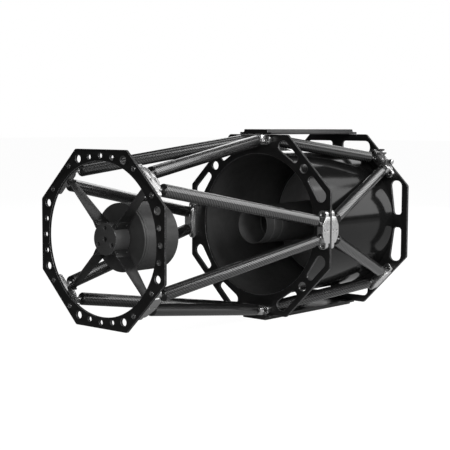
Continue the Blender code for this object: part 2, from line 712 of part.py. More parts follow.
# ---- dovetails and finder shoe -------------------------------------------------------------
def build_dovetails():
    front, rear = DOVETAIL_STATION
    near = BODY_HALF + GAP
    wide = DOVETAIL_WIDE_HALF
    narrow = DOVETAIL_NARROW_HALF
    section = [(near, -wide), (DOVETAIL_STEP, -wide), (DOVETAIL_STEP, -narrow - 2.0), (AXIS_HEIGHT, -narrow),
               (AXIS_HEIGHT, narrow), (DOVETAIL_STEP, narrow + 2.0), (DOVETAIL_STEP, wide), (near, wide)]
    for name, angle in (("top_dovetail", 90.0), ("bottom_dovetail", 270.0)):
        bar = flat_mesh(name, [section], rear - front)
        bar.transform(Matrix.Translation((0.0, (rear + front) / 2.0 * MM, 0.0)) @ FACING_REAR)
        item = mesh_object(name, bar, "satin_black", around(angle))
        for station in DOVETAIL_BOLTS:
            recess = rod_mesh("recess", 5.0, AXIS_HEIGHT - 6.0, AXIS_HEIGHT + 2.0, 8)
            recess.transform(Matrix.Rotation(math.radians(-90.0), 4, "Z"))
            combine(item, cutter("bolt_recess", recess, around(angle, station)), "DIFFERENCE")


SHOE_BASE = BODY_BRACKET_RADIUS + BLOCK_OUTER + GAP


def shoe_screw_place(side):
    """Local Y points outwards along a thumbscrew that enters the shoe's shoulder at 45 degrees."""
    middle = sum(SHOE_STATION) / 2.0
    spot = Matrix.Translation(((SHOE_BASE + 11.0) * MM, middle * MM, side * 17.2 * MM))
    lean = Matrix.Rotation(math.radians(-90.0), 4, "Z") @ Matrix.Rotation(side * math.radians(45.0), 4, "X")
    return around(45.0) @ spot @ lean


def build_finder_shoe():
    base = SHOE_BASE
    section = [(base, -20.0), (base + 8.2, -20.0), (base + 13.8, -14.4), (base + 13.8, -11.0), (base + 5.0, -12.5),
               (base + 5.0, 12.5), (base + 13.8, 11.0), (base + 13.8, 14.4), (base + 8.2, 20.0), (base, 20.0)]
    front, rear = SHOE_STATION
    bar = flat_mesh("finder_shoe", [section], rear - front)
    bar.transform(Matrix.Translation((0.0, (rear + front) / 2.0 * MM, 0.0)) @ FACING_REAR)
    shoe = mesh_object("finder_shoe", bar, "satin_grey", around(45.0))
    screw = [(0.0, 9.0), (7.2, 9.0), (7.2, 4.0), (2.2, 4.0), (2.2, -8.0), (0.0, -8.0)]
    for number, side in ((1, 1), (2, -1)):
        hole = rod_mesh("hole", 2.7, -10.0, 6.0, 6)
        combine(shoe, cutter("screw_hole", hole, shoe_screw_place(side)), "DIFFERENCE")
        turned("finder_thumbscrew_" + str(number), screw, 12, "satin_grey", shoe_screw_place(side))


# ---- assembly ------------------------------------------------------------------------------
build_front_ring()
build_mid_ring()
build_rear_ring()
build_brackets()
build_struts()
build_hub()
build_vanes()
build_secondary()
build_shroud()
build_primary_mirror()
build_primary_cell()
build_primary_baffle()
build_port_flange()
build_fan_frames()
build_fan_rotors()
build_focuser_body()
build_drawtube()
build_focus_knobs()
build_dovetails()
build_finder_shoe()
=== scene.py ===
import math

import bmesh
import bpy
from mathutils import Matrix, Vector


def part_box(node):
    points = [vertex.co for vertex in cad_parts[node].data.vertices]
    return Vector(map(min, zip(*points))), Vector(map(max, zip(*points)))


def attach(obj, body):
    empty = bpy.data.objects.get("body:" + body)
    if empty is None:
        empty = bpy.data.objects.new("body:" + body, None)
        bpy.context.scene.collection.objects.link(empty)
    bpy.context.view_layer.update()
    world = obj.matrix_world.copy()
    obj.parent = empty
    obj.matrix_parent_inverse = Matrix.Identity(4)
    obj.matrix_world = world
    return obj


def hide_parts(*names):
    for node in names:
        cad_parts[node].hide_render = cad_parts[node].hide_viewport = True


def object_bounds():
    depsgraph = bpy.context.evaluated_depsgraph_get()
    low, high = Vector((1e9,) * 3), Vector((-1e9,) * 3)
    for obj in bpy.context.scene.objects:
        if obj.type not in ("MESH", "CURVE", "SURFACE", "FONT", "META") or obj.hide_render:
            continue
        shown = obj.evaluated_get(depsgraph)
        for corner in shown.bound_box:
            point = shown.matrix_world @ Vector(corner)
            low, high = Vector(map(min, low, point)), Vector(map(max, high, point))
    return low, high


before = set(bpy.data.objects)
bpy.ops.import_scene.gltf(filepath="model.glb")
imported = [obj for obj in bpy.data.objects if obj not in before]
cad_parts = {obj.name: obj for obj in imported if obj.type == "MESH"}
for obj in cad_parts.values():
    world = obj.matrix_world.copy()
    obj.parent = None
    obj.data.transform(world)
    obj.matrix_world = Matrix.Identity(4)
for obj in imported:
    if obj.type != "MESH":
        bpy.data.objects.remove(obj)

MM = 0.001
CAD_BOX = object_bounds()

RING_LOW, RING_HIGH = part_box("mid_ring")
FRONT_LOW, FRONT_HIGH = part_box("front_ring")
REAR_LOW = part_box("rear_ring")[0]
START_Y = FRONT_LOW.y / MM
AXIS_Z = (RING_LOW.z + RING_HIGH.z) / 2.0 / MM
THICK = (RING_HIGH.y - RING_LOW.y) / MM
MID_STATION = RING_LOW.y / MM - START_Y
REAR_STATION = REAR_LOW.y / MM - START_Y
FRONT_HALF = (FRONT_HIGH.x - FRONT_LOW.x) / 2.0 / MM
BODY_HALF = (RING_HIGH.x - RING_LOW.x) / 2.0 / MM
GAP = 0.3

CARDINALS = {"right": 0.0, "top": 90.0, "left": 180.0, "bottom": 270.0}
DIAGONALS = {"upper_right": 45.0, "upper_left": 135.0, "lower_left": 225.0, "lower_right": 315.0}
FRONT_BRACKET_RADIUS = 183.0
BODY_BRACKET_RADIUS = 213.0
BRACKET_BOLT = 38.0
FAN_ANGLES = (90.0, 210.0, 330.0)
SUPPORT_ANGLES = (30.0, 150.0, 270.0)
FAN_RADIUS, FAN_BORE, FAN_BOLT = 118.0, 33.5, 29.5
SUPPORT_RADIUS = 130.0


# ---- places ----
def around(angle, station=0.0):
    """Local X points out from the axis at this angle, Y along the tube and Z counter-clockwise."""
    turn = math.radians(angle)
    cos, sin = math.cos(turn), math.sin(turn)
    return Matrix(((cos, 0, -sin, 0), (0, 1, 0, START_Y + station), (sin, 0, cos, AXIS_Z), (0, 0, 0, 1)))


def polar(radius, offset, angle, station):
    """A point at this radius and sideways offset, seen from the front with angles counter-clockwise."""
    return around(angle, station) @ Vector((radius, 0, offset))


def aim(start, end):
    """Local +Y runs from start to end, with the origin at start."""
    along = (end - start).normalized()
    place = along.to_track_quat("Y", "Z").to_matrix().to_4x4()
    place.translation = start
    return place


def turned(degrees, axis):
    return Matrix.Rotation(math.radians(degrees), 4, axis)


ON_AXIS = around(0.0)
FACING = turned(90.0, "X")          # an outline's X and Y become world X and Z
BACKWARD = turned(180.0, "X")       # a head points along -Y, to the front
DOWNWARD = turned(-90.0, "X")       # a head points down
TO_RADIAL = turned(-90.0, "Z")      # a turned shape's axis becomes local X


def shift(x, y, z):
    return Matrix.Translation((x, y, z))


# ---- outlines ----
def circle(radius, centre=(0.0, 0.0), count=32):
    return [Vector((centre[0] + radius * math.cos(math.tau * k / count),
                    centre[1] + radius * math.sin(math.tau * k / count))) for k in range(count)]


def rounded(corners, radii, steps=6):
    """A closed outline whose corners are rounded to these radii."""
    outline = []
    for index, corner in enumerate(corners):
        here = Vector(corner)
        before = (Vector(corners[index - 1]) - here).normalized()
        after = (Vector(corners[(index + 1) % len(corners)]) - here).normalized()
        radius = radii[index]
        if not radius:
            outline.append(here)
            continue
        half = before.angle(after) / 2.0
        centre = here + (before + after).normalized() * (radius / math.sin(half))
        start = here + before * (radius / math.tan(half)) - centre
        end = here + after * (radius / math.tan(half)) - centre
        sweep = math.atan2(start.x * end.y - start.y * end.x, start.dot(end))
        for k in range(steps + 1):
            outline.append(centre + Matrix.Rotation(sweep * k / steps, 2) @ start)
    return outline


def spun(outline, angle):
    turn = Matrix.Rotation(math.radians(angle), 2)
    return [turn @ Vector(point) for point in outline]


def octagon(half, radius):
    reach = half / math.cos(math.pi / 8)
    turns = [math.pi / 8 + math.pi / 4 * k for k in range(8)]
    return rounded([(reach * math.cos(turn), reach * math.sin(turn)) for turn in turns], [radius] * 8)


def mirrored(half, radii, steps=6):
    """A rounded outline from its upper half; the lower half mirrors it across Y = 0."""
    return rounded([(x, -y) for x, y in half] + half[::-1], radii + radii[::-1], steps)


def window(inner, narrow, outer, near, far, side):
    """A slot beside a bracket: its inner edge slopes from inner at near down to narrow at far."""
    corners = [(inner, near * side), (outer, near * side), (outer, far * side), (narrow, far * side)]
    return rounded(corners, [8.0, 8.0, 15.0, 13.0])


# ---- meshes ----
def settle(mesh):
    """Welds the mesh and points its faces out."""
    bm = bmesh.new()
    bm.from_mesh(mesh)
    bmesh.ops.remove_doubles(bm, verts=bm.verts, dist=0.004)
    bmesh.ops.recalc_face_normals(bm, faces=bm.faces)
    bm.to_mesh(mesh)
    bm.free()
    return mesh


def plate(outlines, thick, bevel=0.5, steps=1):
    """A flat plate about local Z = 0: the first outline less the others. Its bevelled edges get slot 1."""
    curve = bpy.data.curves.new("outline", "CURVE")
    curve.dimensions = "2D"
    curve.fill_mode = "BOTH"
    curve.extrude = thick / 2.0 - bevel
    curve.bevel_depth = bevel
    curve.bevel_resolution = steps
    curve.offset = -bevel
    for outline in outlines:
        spline = curve.splines.new("POLY")
        spline.points.add(len(outline) - 1)
        for point, place in zip(spline.points, outline):
            point.co = (place[0], place[1], 0.0, 1.0)
        spline.use_cyclic_u = True
    holder = bpy.data.objects.new("outline", curve)
    bpy.context.scene.collection.objects.link(holder)
    bpy.context.view_layer.update()
    mesh = bpy.data.meshes.new_from_object(holder.evaluated_get(bpy.context.evaluated_depsgraph_get()))
    bpy.data.objects.remove(holder)
    bpy.data.curves.remove(curve)
    mesh.materials.clear()
    settle(mesh)
    # Bevel faces take slot 1, where the lighter edge materials paint a highlight.
    for face in mesh.polygons:
        face.material_index = 1 if 0.12 < abs(face.normal.z) < 0.97 else 0
    return mesh


def hexagon(angle):
    """The radius of a hexagon by angle, for a key socket, as a share of its across-corners radius."""
    return math.cos(math.pi / 6) / math.cos((angle % (math.pi / 3)) - math.pi / 6)


def knurl(teeth, depth):
    def radius(angle):
        return 1.0 - depth * abs(((angle * teeth / math.tau) % 1.0) * 2.0 - 1.0)
    return radius


def slotted(points):
    """The same profile points, in material slot 1."""
    return [(*point[:2], point[2] if len(point) > 2 else None, 1) for point in points]


def lathe(profile, count=48, closed=False):
    """A turned shape about local Y from (radius, y) points; a third value scales the radius by angle.
    A fourth value is the material slot of the band that ends at that point."""
    bm = bmesh.new()
    uv_layer = bm.loops.layers.uv.new("UVMap")
    rings, lengths, walked = [], [], 0.0
    for index, point in enumerate(profile):
        radius, y = point[0], point[1]
        shape = point[2] if len(point) > 2 and point[2] else None
        if index:
            walked += math.hypot(radius - profile[index - 1][0], y - profile[index - 1][1])
        lengths.append(walked)
        if radius == 0.0:
            rings.append([bm.verts.new((0.0, y, 0.0))])
            continue
        ring = []
        for k in range(count):
            angle = math.tau * k / count
            reach = radius * (shape(angle) if shape else 1.0)
            ring.append(bm.verts.new((reach * math.cos(angle), y, reach * math.sin(angle))))
        rings.append(ring)
    pairs = list(range(1, len(profile))) + ([0] if closed else [])
    for index in pairs:
        near, far = rings[index - 1], rings[index]
        slot = profile[index][3] if len(profile[index]) > 3 else 0
        for k in range(count):
            quad = [(near[k % len(near)], k, index - 1), (near[(k + 1) % len(near)], k + 1, index - 1),
                    (far[(k + 1) % len(far)], k + 1, index), (far[k % len(far)], k, index)]
            corners = []
            for corner in quad:
                if corner[0] not in [c[0] for c in corners]:
                    corners.append(corner)
            if len(corners) < 3:
                continue
            face = bm.faces.new([c[0] for c in corners])
            face.material_index = slot
            for loop, corner in zip(face.loops, corners):
                loop[uv_layer].uv = (corner[1] / count, lengths[corner[2]])
    mesh = bpy.data.meshes.new("turned")
    bm.to_mesh(mesh)
    bm.free()
    return settle(mesh)


def cuboid(low, high, bevel=0.4, slot=0):
    """A box between two corners with rounded edges."""
    bm = bmesh.new()
    bmesh.ops.create_cube(bm, size=1.0)
    size = [h - l for l, h in zip(low, high)]
    bmesh.ops.scale(bm, vec=size, verts=bm.verts)
    bmesh.ops.translate(bm, vec=[(h + l) / 2.0 for l, h in zip(low, high)], verts=bm.verts)
    bmesh.ops.bevel(bm, geom=bm.edges, offset=bevel, segments=2, profile=0.5, affect="EDGES")
    for face in bm.faces:
        face.material_index = slot
    mesh = bpy.data.meshes.new("block")
    bm.to_mesh(mesh)
    bm.free()
    return settle(mesh)


def joined(parts):
    """One mesh from (mesh, place) pairs, still in millimetres."""
    bm = bmesh.new()
    bm.loops.layers.uv.new("UVMap")
    for mesh, place in parts:
        copy = mesh.copy()
        copy.transform(place)
        bm.from_mesh(copy)
        bpy.data.meshes.remove(copy)
    mesh = bpy.data.meshes.new("joined")
    bm.to_mesh(mesh)
    bm.free()
    return mesh


def piece(name, parts, materials, body="tube", replaces=()):
    """One shown piece: (mesh, place) pairs in millimetres, baked into the frame in metres."""
    mesh = joined(parts)
    mesh.transform(Matrix.Scale(MM, 4))
    mesh.name = name
    mesh.shade_smooth()
    mesh.set_sharp_from_angle(angle=math.radians(32.0))
    for material in materials:
        mesh.materials.append(material)
    item = bpy.data.objects.new(name, mesh)
    bpy.context.scene.collection.objects.link(item)
    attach(item, body)
    if replaces:
        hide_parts(*replaces)


def stand_in(name, mesh, materials, node, place=ON_AXIS, body="tube"):
    """A piece of one mesh that stands for one CAD node."""
    piece(name, [(mesh, place)], materials, body, (node,))


# ---- materials ----
class Shader:
    """A Principled material with short helpers for its nodes."""

    def __init__(self, name, **settings):
        self.material = bpy.data.materials.new(name)
        self.material.use_nodes = True
        self.tree = self.material.node_tree
        self.surface = self.tree.nodes["Principled BSDF"]
        for socket, value in settings.items():
            self.surface.inputs[socket.replace("_", " ")].default_value = value

    def node(self, kind, **settings):
        made = self.tree.nodes.new(kind)
        for key, value in settings.items():
            setattr(made, key, value)
        return made

    def link(self, source, target):
        self.tree.links.new(source, target)

    def place(self, scale=(1.0, 1.0, 1.0)):
        """Object coordinates, stretched by scale."""
        coordinates = self.node("ShaderNodeTexCoord")
        mapping = self.node("ShaderNodeMapping")
        mapping.inputs["Scale"].default_value = scale
        self.link(coordinates.outputs["Object"], mapping.inputs["Vector"])
        return mapping.outputs["Vector"]

    def noise(self, scale, detail=3.0, roughness=0.55, stretch=(1.0, 1.0, 1.0)):
        made = self.node("ShaderNodeTexNoise")
        made.inputs["Scale"].default_value = scale
        made.inputs["Detail"].default_value = detail
        made.inputs["Roughness"].default_value = roughness
        self.link(self.place(stretch), made.inputs["Vector"])
        return made.outputs["Fac"]

    def ramp(self, source, stops):
        """Maps a value to colours: stops are (position, grey or colour)."""
        made = self.node("ShaderNodeValToRGB")
        elements = made.color_ramp.elements
        while len(elements) < len(stops):
            elements.new(0.5)
        for element, (position, colour) in zip(elements, stops):
            element.position = position
            element.color = (colour, colour, colour, 1.0) if isinstance(colour, float) else (*colour, 1.0)
        self.link(source, made.inputs["Fac"])
        return made.outputs["Color"]

    def cloudy(self, scale, detail, low, high, top=0.7):
        """Noise that runs from low to high, each a grey or a colour."""
        return self.ramp(self.noise(scale, detail), [(0.3, low), (top, high)])

    def math(self, operation, first, second=0.0):
        made = self.node("ShaderNodeMath", operation=operation)
        for socket, value in zip(made.inputs, (first, second)):
            if isinstance(value, (int, float)):
                socket.default_value = value
            else:
                self.link(value, socket)
        return made.outputs[0]

    def mix(self, factor, first, second):
        made = self.node("ShaderNodeMix", data_type="RGBA")
        for socket, value in zip((made.inputs[0], made.inputs[6], made.inputs[7]), (factor, first, second)):
            if isinstance(value, tuple):
                socket.default_value = (*value, 1.0)
            elif isinstance(value, float):
                socket.default_value = value
            else:
                self.link(value, socket)
        return made.outputs[2]

    def colour(self, source):
        self.link(source, self.surface.inputs["Base Color"])

    def rough(self, source):
        self.link(source, self.surface.inputs["Roughness"])

    def bump(self, height, strength, distance):
        made = self.node("ShaderNodeBump")
        made.inputs["Strength"].default_value = strength
        made.inputs["Distance"].default_value = distance
        self.link(height, made.inputs["Height"])
        self.link(made.outputs["Normal"], self.surface.inputs["Normal"])


def anodised(name, dark, light, rough_low, rough_high, worn=0.0):
    """Bead-blasted, dyed aluminium: a fine grain, cloudy colour and, where worn is set, specks of bare metal
    showing through as wear. Lighter tones given to the edge copies paint a highlight on chamfers.
    """
    shader = Shader(name, Specular_IOR_Level=0.5)
    tone = shader.cloudy(22.0, 5.0, dark, light)
    if worn:
        chips = shader.ramp(shader.noise(260.0, 4.0, 0.7), [(0.52 - worn * 0.2, 0.0), (0.66, 1.0)])
        shader.colour(shader.mix(chips, tone, (0.34, 0.34, 0.35)))
        shader.link(shader.ramp(chips, [(0.0, 0.0), (1.0, 0.8)]), shader.surface.inputs["Metallic"])
    else:
        shader.colour(tone)
    shader.rough(shader.cloudy(60.0, 4.0, rough_low, rough_high, 0.75))
    shader.bump(shader.noise(2600.0, 2.0, 0.6), 0.22, 0.0002)
    return shader.material


def machined(name, tone, rough_low, rough_high, stretch):
    """Bare milled aluminium: fine tool lines along one way, a little dulled."""
    shader = Shader(name, Metallic=1.0)
    lines = shader.noise(90.0, 6.0, 0.7, stretch)
    shader.colour(shader.ramp(lines, [(0.3, tone * 0.86), (0.7, tone)]))
    shader.rough(shader.cloudy(35.0, 5.0, rough_low, rough_high))
    shader.bump(lines, 0.02, 0.0002)
    return shader.material


def carbon_twill():
    """2 by 2 twill under a clear coat. The UV map runs round the tube and along it in millimetres."""
    shader = Shader("carbon_twill", Coat_Weight=0.8, Coat_Roughness=0.03, Coat_IOR=1.5)
    tows_round, tow_width = 48.0, 1.88
    coordinates = shader.node("ShaderNodeTexCoord")
    split = shader.node("ShaderNodeSeparateXYZ")
    shader.link(coordinates.outputs["UV"], split.inputs["Vector"])
    across = shader.math("MULTIPLY", split.outputs["X"], tows_round)
    along = shader.math("DIVIDE", split.outputs["Y"], tow_width)
    column = shader.math("FLOOR", across)
    row = shader.math("FLOOR", along)
    step = shader.math("MODULO", shader.math("ADD", shader.math("ADD", column, row), 4000.0), 4.0)
    over = shader.math("LESS_THAN", step, 2.0)
    hump_across = shader.math("PINGPONG", across, 0.5)
    hump_along = shader.math("PINGPONG", along, 0.5)
    hump = shader.mix(over, hump_along, hump_across)
    fibres = shader.noise(1500.0, 3.0, 0.7)
    bright = shader.ramp(fibres, [(0.3, 0.16), (0.75, 0.28)])
    dull = shader.ramp(fibres, [(0.3, 0.004), (0.75, 0.010)])
    crown = shader.ramp(hump, [(0.0, 0.15), (0.5, 1.0)])
    shader.colour(shader.mix(crown, (0.004, 0.004, 0.0045), shader.mix(over, dull, bright)))
    shader.link(shader.ramp(over, [(0.0, 0.10), (1.0, 0.92)]), shader.surface.inputs["Metallic"])
    shader.rough(shader.ramp(over, [(0.0, 0.45), (1.0, 0.15)]))
    shader.bump(hump, 0.35, 0.0004)
    return shader.material


def plastic(name, dark, light, rough_low, rough_high, grain, strength=0.15, shine=0.5):
    shader = Shader(name, Specular_IOR_Level=shine)
    shader.colour(shader.cloudy(30.0, 4.0, dark, light))
    shader.rough(shader.cloudy(90.0, 3.0, rough_low, rough_high))
    shader.bump(shader.noise(grain, 2.0), strength, 0.0002)
    return shader.material


def turned_rings(name, dark, light, rough, pitch):
    """A lathe-turned black surface: faint rings along the tube's own axis."""
    shader = Shader(name)
    split = shader.node("ShaderNodeSeparateXYZ")
    shader.link(shader.place(), split.inputs["Vector"])
    groove = shader.math("PINGPONG", shader.math("DIVIDE", split.outputs["Y"], pitch), 0.5)
    shader.colour(shader.cloudy(40.0, 4.0, dark, light))
    shader.rough(shader.cloudy(120.0, 3.0, rough, min(1.0, rough + 0.12)))
    shader.bump(groove, 0.12, 0.0003)
    return shader.material


def glass_mirror():
    """Aluminised glass with a faint haze and a little dust."""
    shader = Shader("mirror_surface", Metallic=1.0)
    shader.colour(shader.cloudy(9.0, 6.0, 0.80, 0.88))
    shader.rough(shader.ramp(shader.noise(800.0, 2.0), [(0.62, 0.03), (0.80, 0.12)]))
    return shader.material


def ground_glass():
    shader = Shader("ground_glass", Coat_Weight=0.1)
    shader.colour(shader.cloudy(300.0, 4.0, (0.36, 0.40, 0.40), (0.46, 0.50, 0.49)))
    shader.rough(shader.cloudy(200.0, 3.0, 0.5, 0.68))
    shader.bump(shader.noise(1800.0, 2.0), 0.2, 0.0002)
    return shader.material


# Each edge material below is a lighter copy of its face material: a painted highlight on the bevelled edges,
# with specks of bare-metal wear where worn is set.
RING_BLACK = anodised("ring_black", 0.0038, 0.0062, 0.36, 0.46)
RING_EDGE_HIGHLIGHT_AND_WEAR = anodised("ring_edge_painted_highlight_and_wear", 0.030, 0.075, 0.25, 0.38, worn=0.5)
HUB_GREY = anodised("hub_grey", 0.050, 0.060, 0.36, 0.46)
HUB_EDGE_HIGHLIGHT_AND_WEAR = anodised("hub_edge_painted_highlight_and_wear", 0.045, 0.07, 0.28, 0.40, worn=0.2)
VANE_BLACK = anodised("vane_black", 0.012, 0.018, 0.28, 0.38)
VANE_EDGE_HIGHLIGHT_AND_WEAR = anodised("vane_edge_painted_highlight_and_wear", 0.04, 0.07, 0.25, 0.35, worn=0.3)
DOVETAIL_BLACK = anodised("dovetail_black", 0.0045, 0.0080, 0.38, 0.50)
DOVETAIL_EDGE_HIGHLIGHT_AND_WEAR = anodised("dovetail_edge_painted_highlight_and_wear", 0.030, 0.07, 0.28, 0.40, worn=0.5)
CAP_BLACK = anodised("cap_black", 0.006, 0.010, 0.12, 0.22)
SHOE_GREY = anodised("shoe_grey", 0.055, 0.075, 0.34, 0.46)
SHOE_EDGE_HIGHLIGHT_AND_WEAR = anodised("shoe_edge_painted_highlight_and_wear", 0.12, 0.18, 0.25, 0.38, worn=0.4)
BRACKET_SILVER = machined("bracket_silver", 0.72, 0.22, 0.30, (1.0, 1.0, 14.0))
BRACKET_EDGE_HIGHLIGHT = machined("bracket_edge_painted_highlight", 0.78, 0.16, 0.26, (1.0, 6.0, 1.0))
STEEL = machined("screw_steel", 0.66, 0.18, 0.30, (1.0, 10.0, 1.0))
# A much darker copy of the steel: painted shade inside key sockets.
STEEL_SOCKET_SHADE = machined("socket_shadow", 0.16, 0.40, 0.55, (1.0, 10.0, 1.0))
OXIDE = machined("black_oxide", 0.10, 0.28, 0.40, (1.0, 10.0, 1.0))
# A much darker copy of the black oxide: painted shade inside key sockets.
OXIDE_SOCKET_SHADE = machined("black_oxide_painted_socket_shade", 0.012, 0.45, 0.60, (1.0, 10.0, 1.0))
CARBON = carbon_twill()
CUP_BLACK = turned_rings("secondary_black", 0.042, 0.052, 0.36, 0.0009)
SHROUD_OUTER = plastic("shroud_outer", 0.006, 0.009, 0.10, 0.13, 240.0, 0.02, 0.22)
SHROUD_INNER = turned_rings("shroud_inner", 0.040, 0.052, 0.72, 0.0030)
BAFFLE_BLACK = turned_rings("baffle_black", 0.042, 0.054, 0.50, 0.0012)
CELL_BLACK = anodised("cell_black", 0.012, 0.020, 0.42, 0.55)
FOCUSER_BLACK = turned_rings("focuser_black", 0.010, 0.016, 0.30, 0.0010)
FOCUSER_SILVER = machined("focuser_silver", 0.74, 0.20, 0.32, (1.0, 16.0, 1.0))
FAN_PLASTIC = plastic("fan_plastic", 0.010, 0.016, 0.42, 0.55, 1400.0)
ROTOR_PLASTIC = plastic("rotor_plastic", 0.014, 0.022, 0.34, 0.46, 900.0)
KNOB_BLACK = plastic("knob_black", 0.008, 0.014, 0.36, 0.50, 1800.0, 0.25)
MIRROR = glass_mirror()
GLASS = ground_glass()


# ---- fasteners ----
def key_socket(key, low, high):
    """The profile of a hexagonal socket from its floor to its mouth, in slot 1, a much darker metal that
    paints shade inside the socket.
    """
    return slotted([(0.0, low), (key, low, hexagon), (key, high, hexagon)])


def socket_head(radius, height):
    """A socket head that stands on local y = 0 and points along +Y."""
    key, edge = radius * 0.52, radius * 0.10
    return lathe(key_socket(key, height * 0.4, height - 0.15)
                 + [(key * 1.12, height), (radius - edge, height), (radius, height - edge), (radius, 0.0),
                    (0.0, 0.0)], 36)


def button_head(radius, height):
    """A low domed head with a key socket."""
    key = radius * 0.42
    dome = [(radius * math.cos(t), height * (0.25 + 0.75 * math.sin(t))) for t in (1.05, 0.75, 0.4, 0.0)]
    return lathe(key_socket(key, height * 0.35, height * 0.92) + dome + [(radius, 0.0), (0.0, 0.0)], 36)


SCREW = (STEEL, STEEL_SOCKET_SHADE)
DARK_SCREW = (OXIDE, OXIDE_SOCKET_SHADE)


def fasteners(name, parts, materials=SCREW, body="tube"):
    piece(name, parts, materials, body)


# ---- rings ----
def ring(name, station, outlines):
    mesh = plate(outlines, THICK, 0.7, 2)
    place = shift(0.0, START_Y + station + THICK / 2.0, AXIS_Z) @ FACING
    stand_in(name + "_plate", mesh, (RING_BLACK, RING_EDGE_HIGHLIGHT_AND_WEAR), name, place)


def hole(radius, size, offset, angle):
    return spun(circle(size, (radius, offset), 28), angle)


def make_front_ring():
    outlines = [octagon(FRONT_HALF, 7.0), circle(170.0, count=160)]
    for angle in CARDINALS.values():
        for offset, radius, size in ((0.0, 181.5, 5.6), (36.0, 178.0, 5.6), (71.5, 173.0, 8.6)):
            for side in ((1, -1) if offset else (1,)):
                outlines.append(hole(radius, size, offset * side, angle))
    for angle in DIAGONALS.values():
        for side in (1, -1):
            outlines.append(hole(FRONT_BRACKET_RADIUS, 5.4, BRACKET_BOLT * side, angle))
    ring("front_ring", 0.0, outlines)
    head = button_head(1.9, 1.0)
    screws = []
    for angle in DIAGONALS.values():
        for side in (1, -1):
            screws.append((head, around(angle, 0.95) @ shift(177.0, 0.0, 13.0 * side) @ BACKWARD))
    fasteners("front_ring_vane_screws", screws)


def make_mid_ring():
    outlines = [octagon(BODY_HALF, 8.0), circle(178.0, count=160)]
    for angle in DIAGONALS.values():
        outlines.append(hole(203.5, 11.0, 0.0, angle))
        for side in (1, -1):
            outlines.append(spun(window(192.0, 177.5, 210.0, 27.0, 97.0, side), angle))
    for angle in CARDINALS.values():
        for side in (1, -1):
            outlines.append(hole(BODY_BRACKET_RADIUS, 3.6, BRACKET_BOLT * side, angle))
    ring("mid_ring", MID_STATION, outlines)


def make_rear_ring():
    outlines = [octagon(BODY_HALF, 8.0), circle(62.0, count=96)]
    for angle in FAN_ANGLES:
        outlines.append(spun(circle(FAN_BORE, (FAN_RADIUS, 0.0), 72), angle))
    for angle in CARDINALS.values():
        for side in (1, -1):
            outlines.append(spun(window(185.5, 173.0, 207.5, 17.0, 105.5, side), angle))
    for angle in DIAGONALS.values():
        for side in (1, -1):
            outlines.append(hole(BODY_BRACKET_RADIUS, 3.6, BRACKET_BOLT * side, angle))
    ring("rear_ring", REAR_STATION, outlines)
    head = socket_head(4.5, 4.5)
    rear = REAR_STATION + THICK
    screws = [(head, around(angle, rear) @ shift(SUPPORT_RADIUS, 0.0, 0.0)) for angle in SUPPORT_ANGLES]
    small = button_head(3.4, 2.2)
    for angle in SUPPORT_ANGLES:
        for side in (1, -1):
            screws.append((small, around(angle, rear) @ shift(SUPPORT_RADIUS, 0.0, 16.0 * side)))
    fasteners("mirror_cell_screws", screws)


# ---- brackets ----
PLATE_IN, PLATE_OUT, PLATE_HALF, PLATE_THICK = -12.3, 9.7, 47.0, 14.0
BLOCK_IN, BLOCK_OUT, BLOCK_HALF, BLOCK_HIGH = -5.5, 11.7, 32.0, 28.5
SET_SCREWS = (9.0, 21.5)                                  # heights of a block's two side screws


def bracket_parts(bore):
    """A base plate with two round holes of the given bore, on local y = 0, and its D-shaped block along -Y.
    """
    foot = mirrored([(PLATE_IN, PLATE_HALF), (PLATE_OUT, PLATE_HALF)], [8.5, 8.5])
    holes = [circle(bore, (0.0, BRACKET_BOLT * side), 28) for side in (1, -1)]
    base = plate([foot] + holes, PLATE_THICK, 0.6, 2)
    outline = rounded([(-BLOCK_HALF, GAP), (BLOCK_HALF, GAP), (BLOCK_HALF, 18.0), (11.0, BLOCK_HIGH),
                       (-11.0, BLOCK_HIGH), (-BLOCK_HALF, 18.0)], [0.8, 0.8, 9.0, 14.0, 14.0, 9.0])
    holes = [circle(2.7, (0.0, height), 20) for height in SET_SCREWS]
    block = plate([outline] + holes, BLOCK_OUT - BLOCK_IN, 0.6, 2)
    upright = Matrix(((0, 0, 1, (BLOCK_OUT + BLOCK_IN) / 2.0), (0, -1, 0, 0), (1, 0, 0, 0), (0, 0, 0, 1)))
    return [(base, shift(0.0, -GAP - PLATE_THICK / 2.0, 0.0) @ FACING), (block, upright)]


def set_screw_parts():
    out, end = BLOCK_OUT, BLOCK_IN + 0.5
    grub = lathe(key_socket(1.5, out - 2.6, out - 0.5)
                 + [(2.3, out - 0.4), (2.6, out - 0.8), (2.6, end), (0.0, end)], 36)
    return [(grub, shift(0.0, -height, 0.0) @ TO_RADIAL) for height in SET_SCREWS]


def moved(parts, place):
    return [(mesh, place @ own) for mesh, own in parts]


def bracket_piece(name, ending, parts):
    piece(name + ending, parts, (BRACKET_SILVER, BRACKET_EDGE_HIGHLIGHT), replaces=(name,))


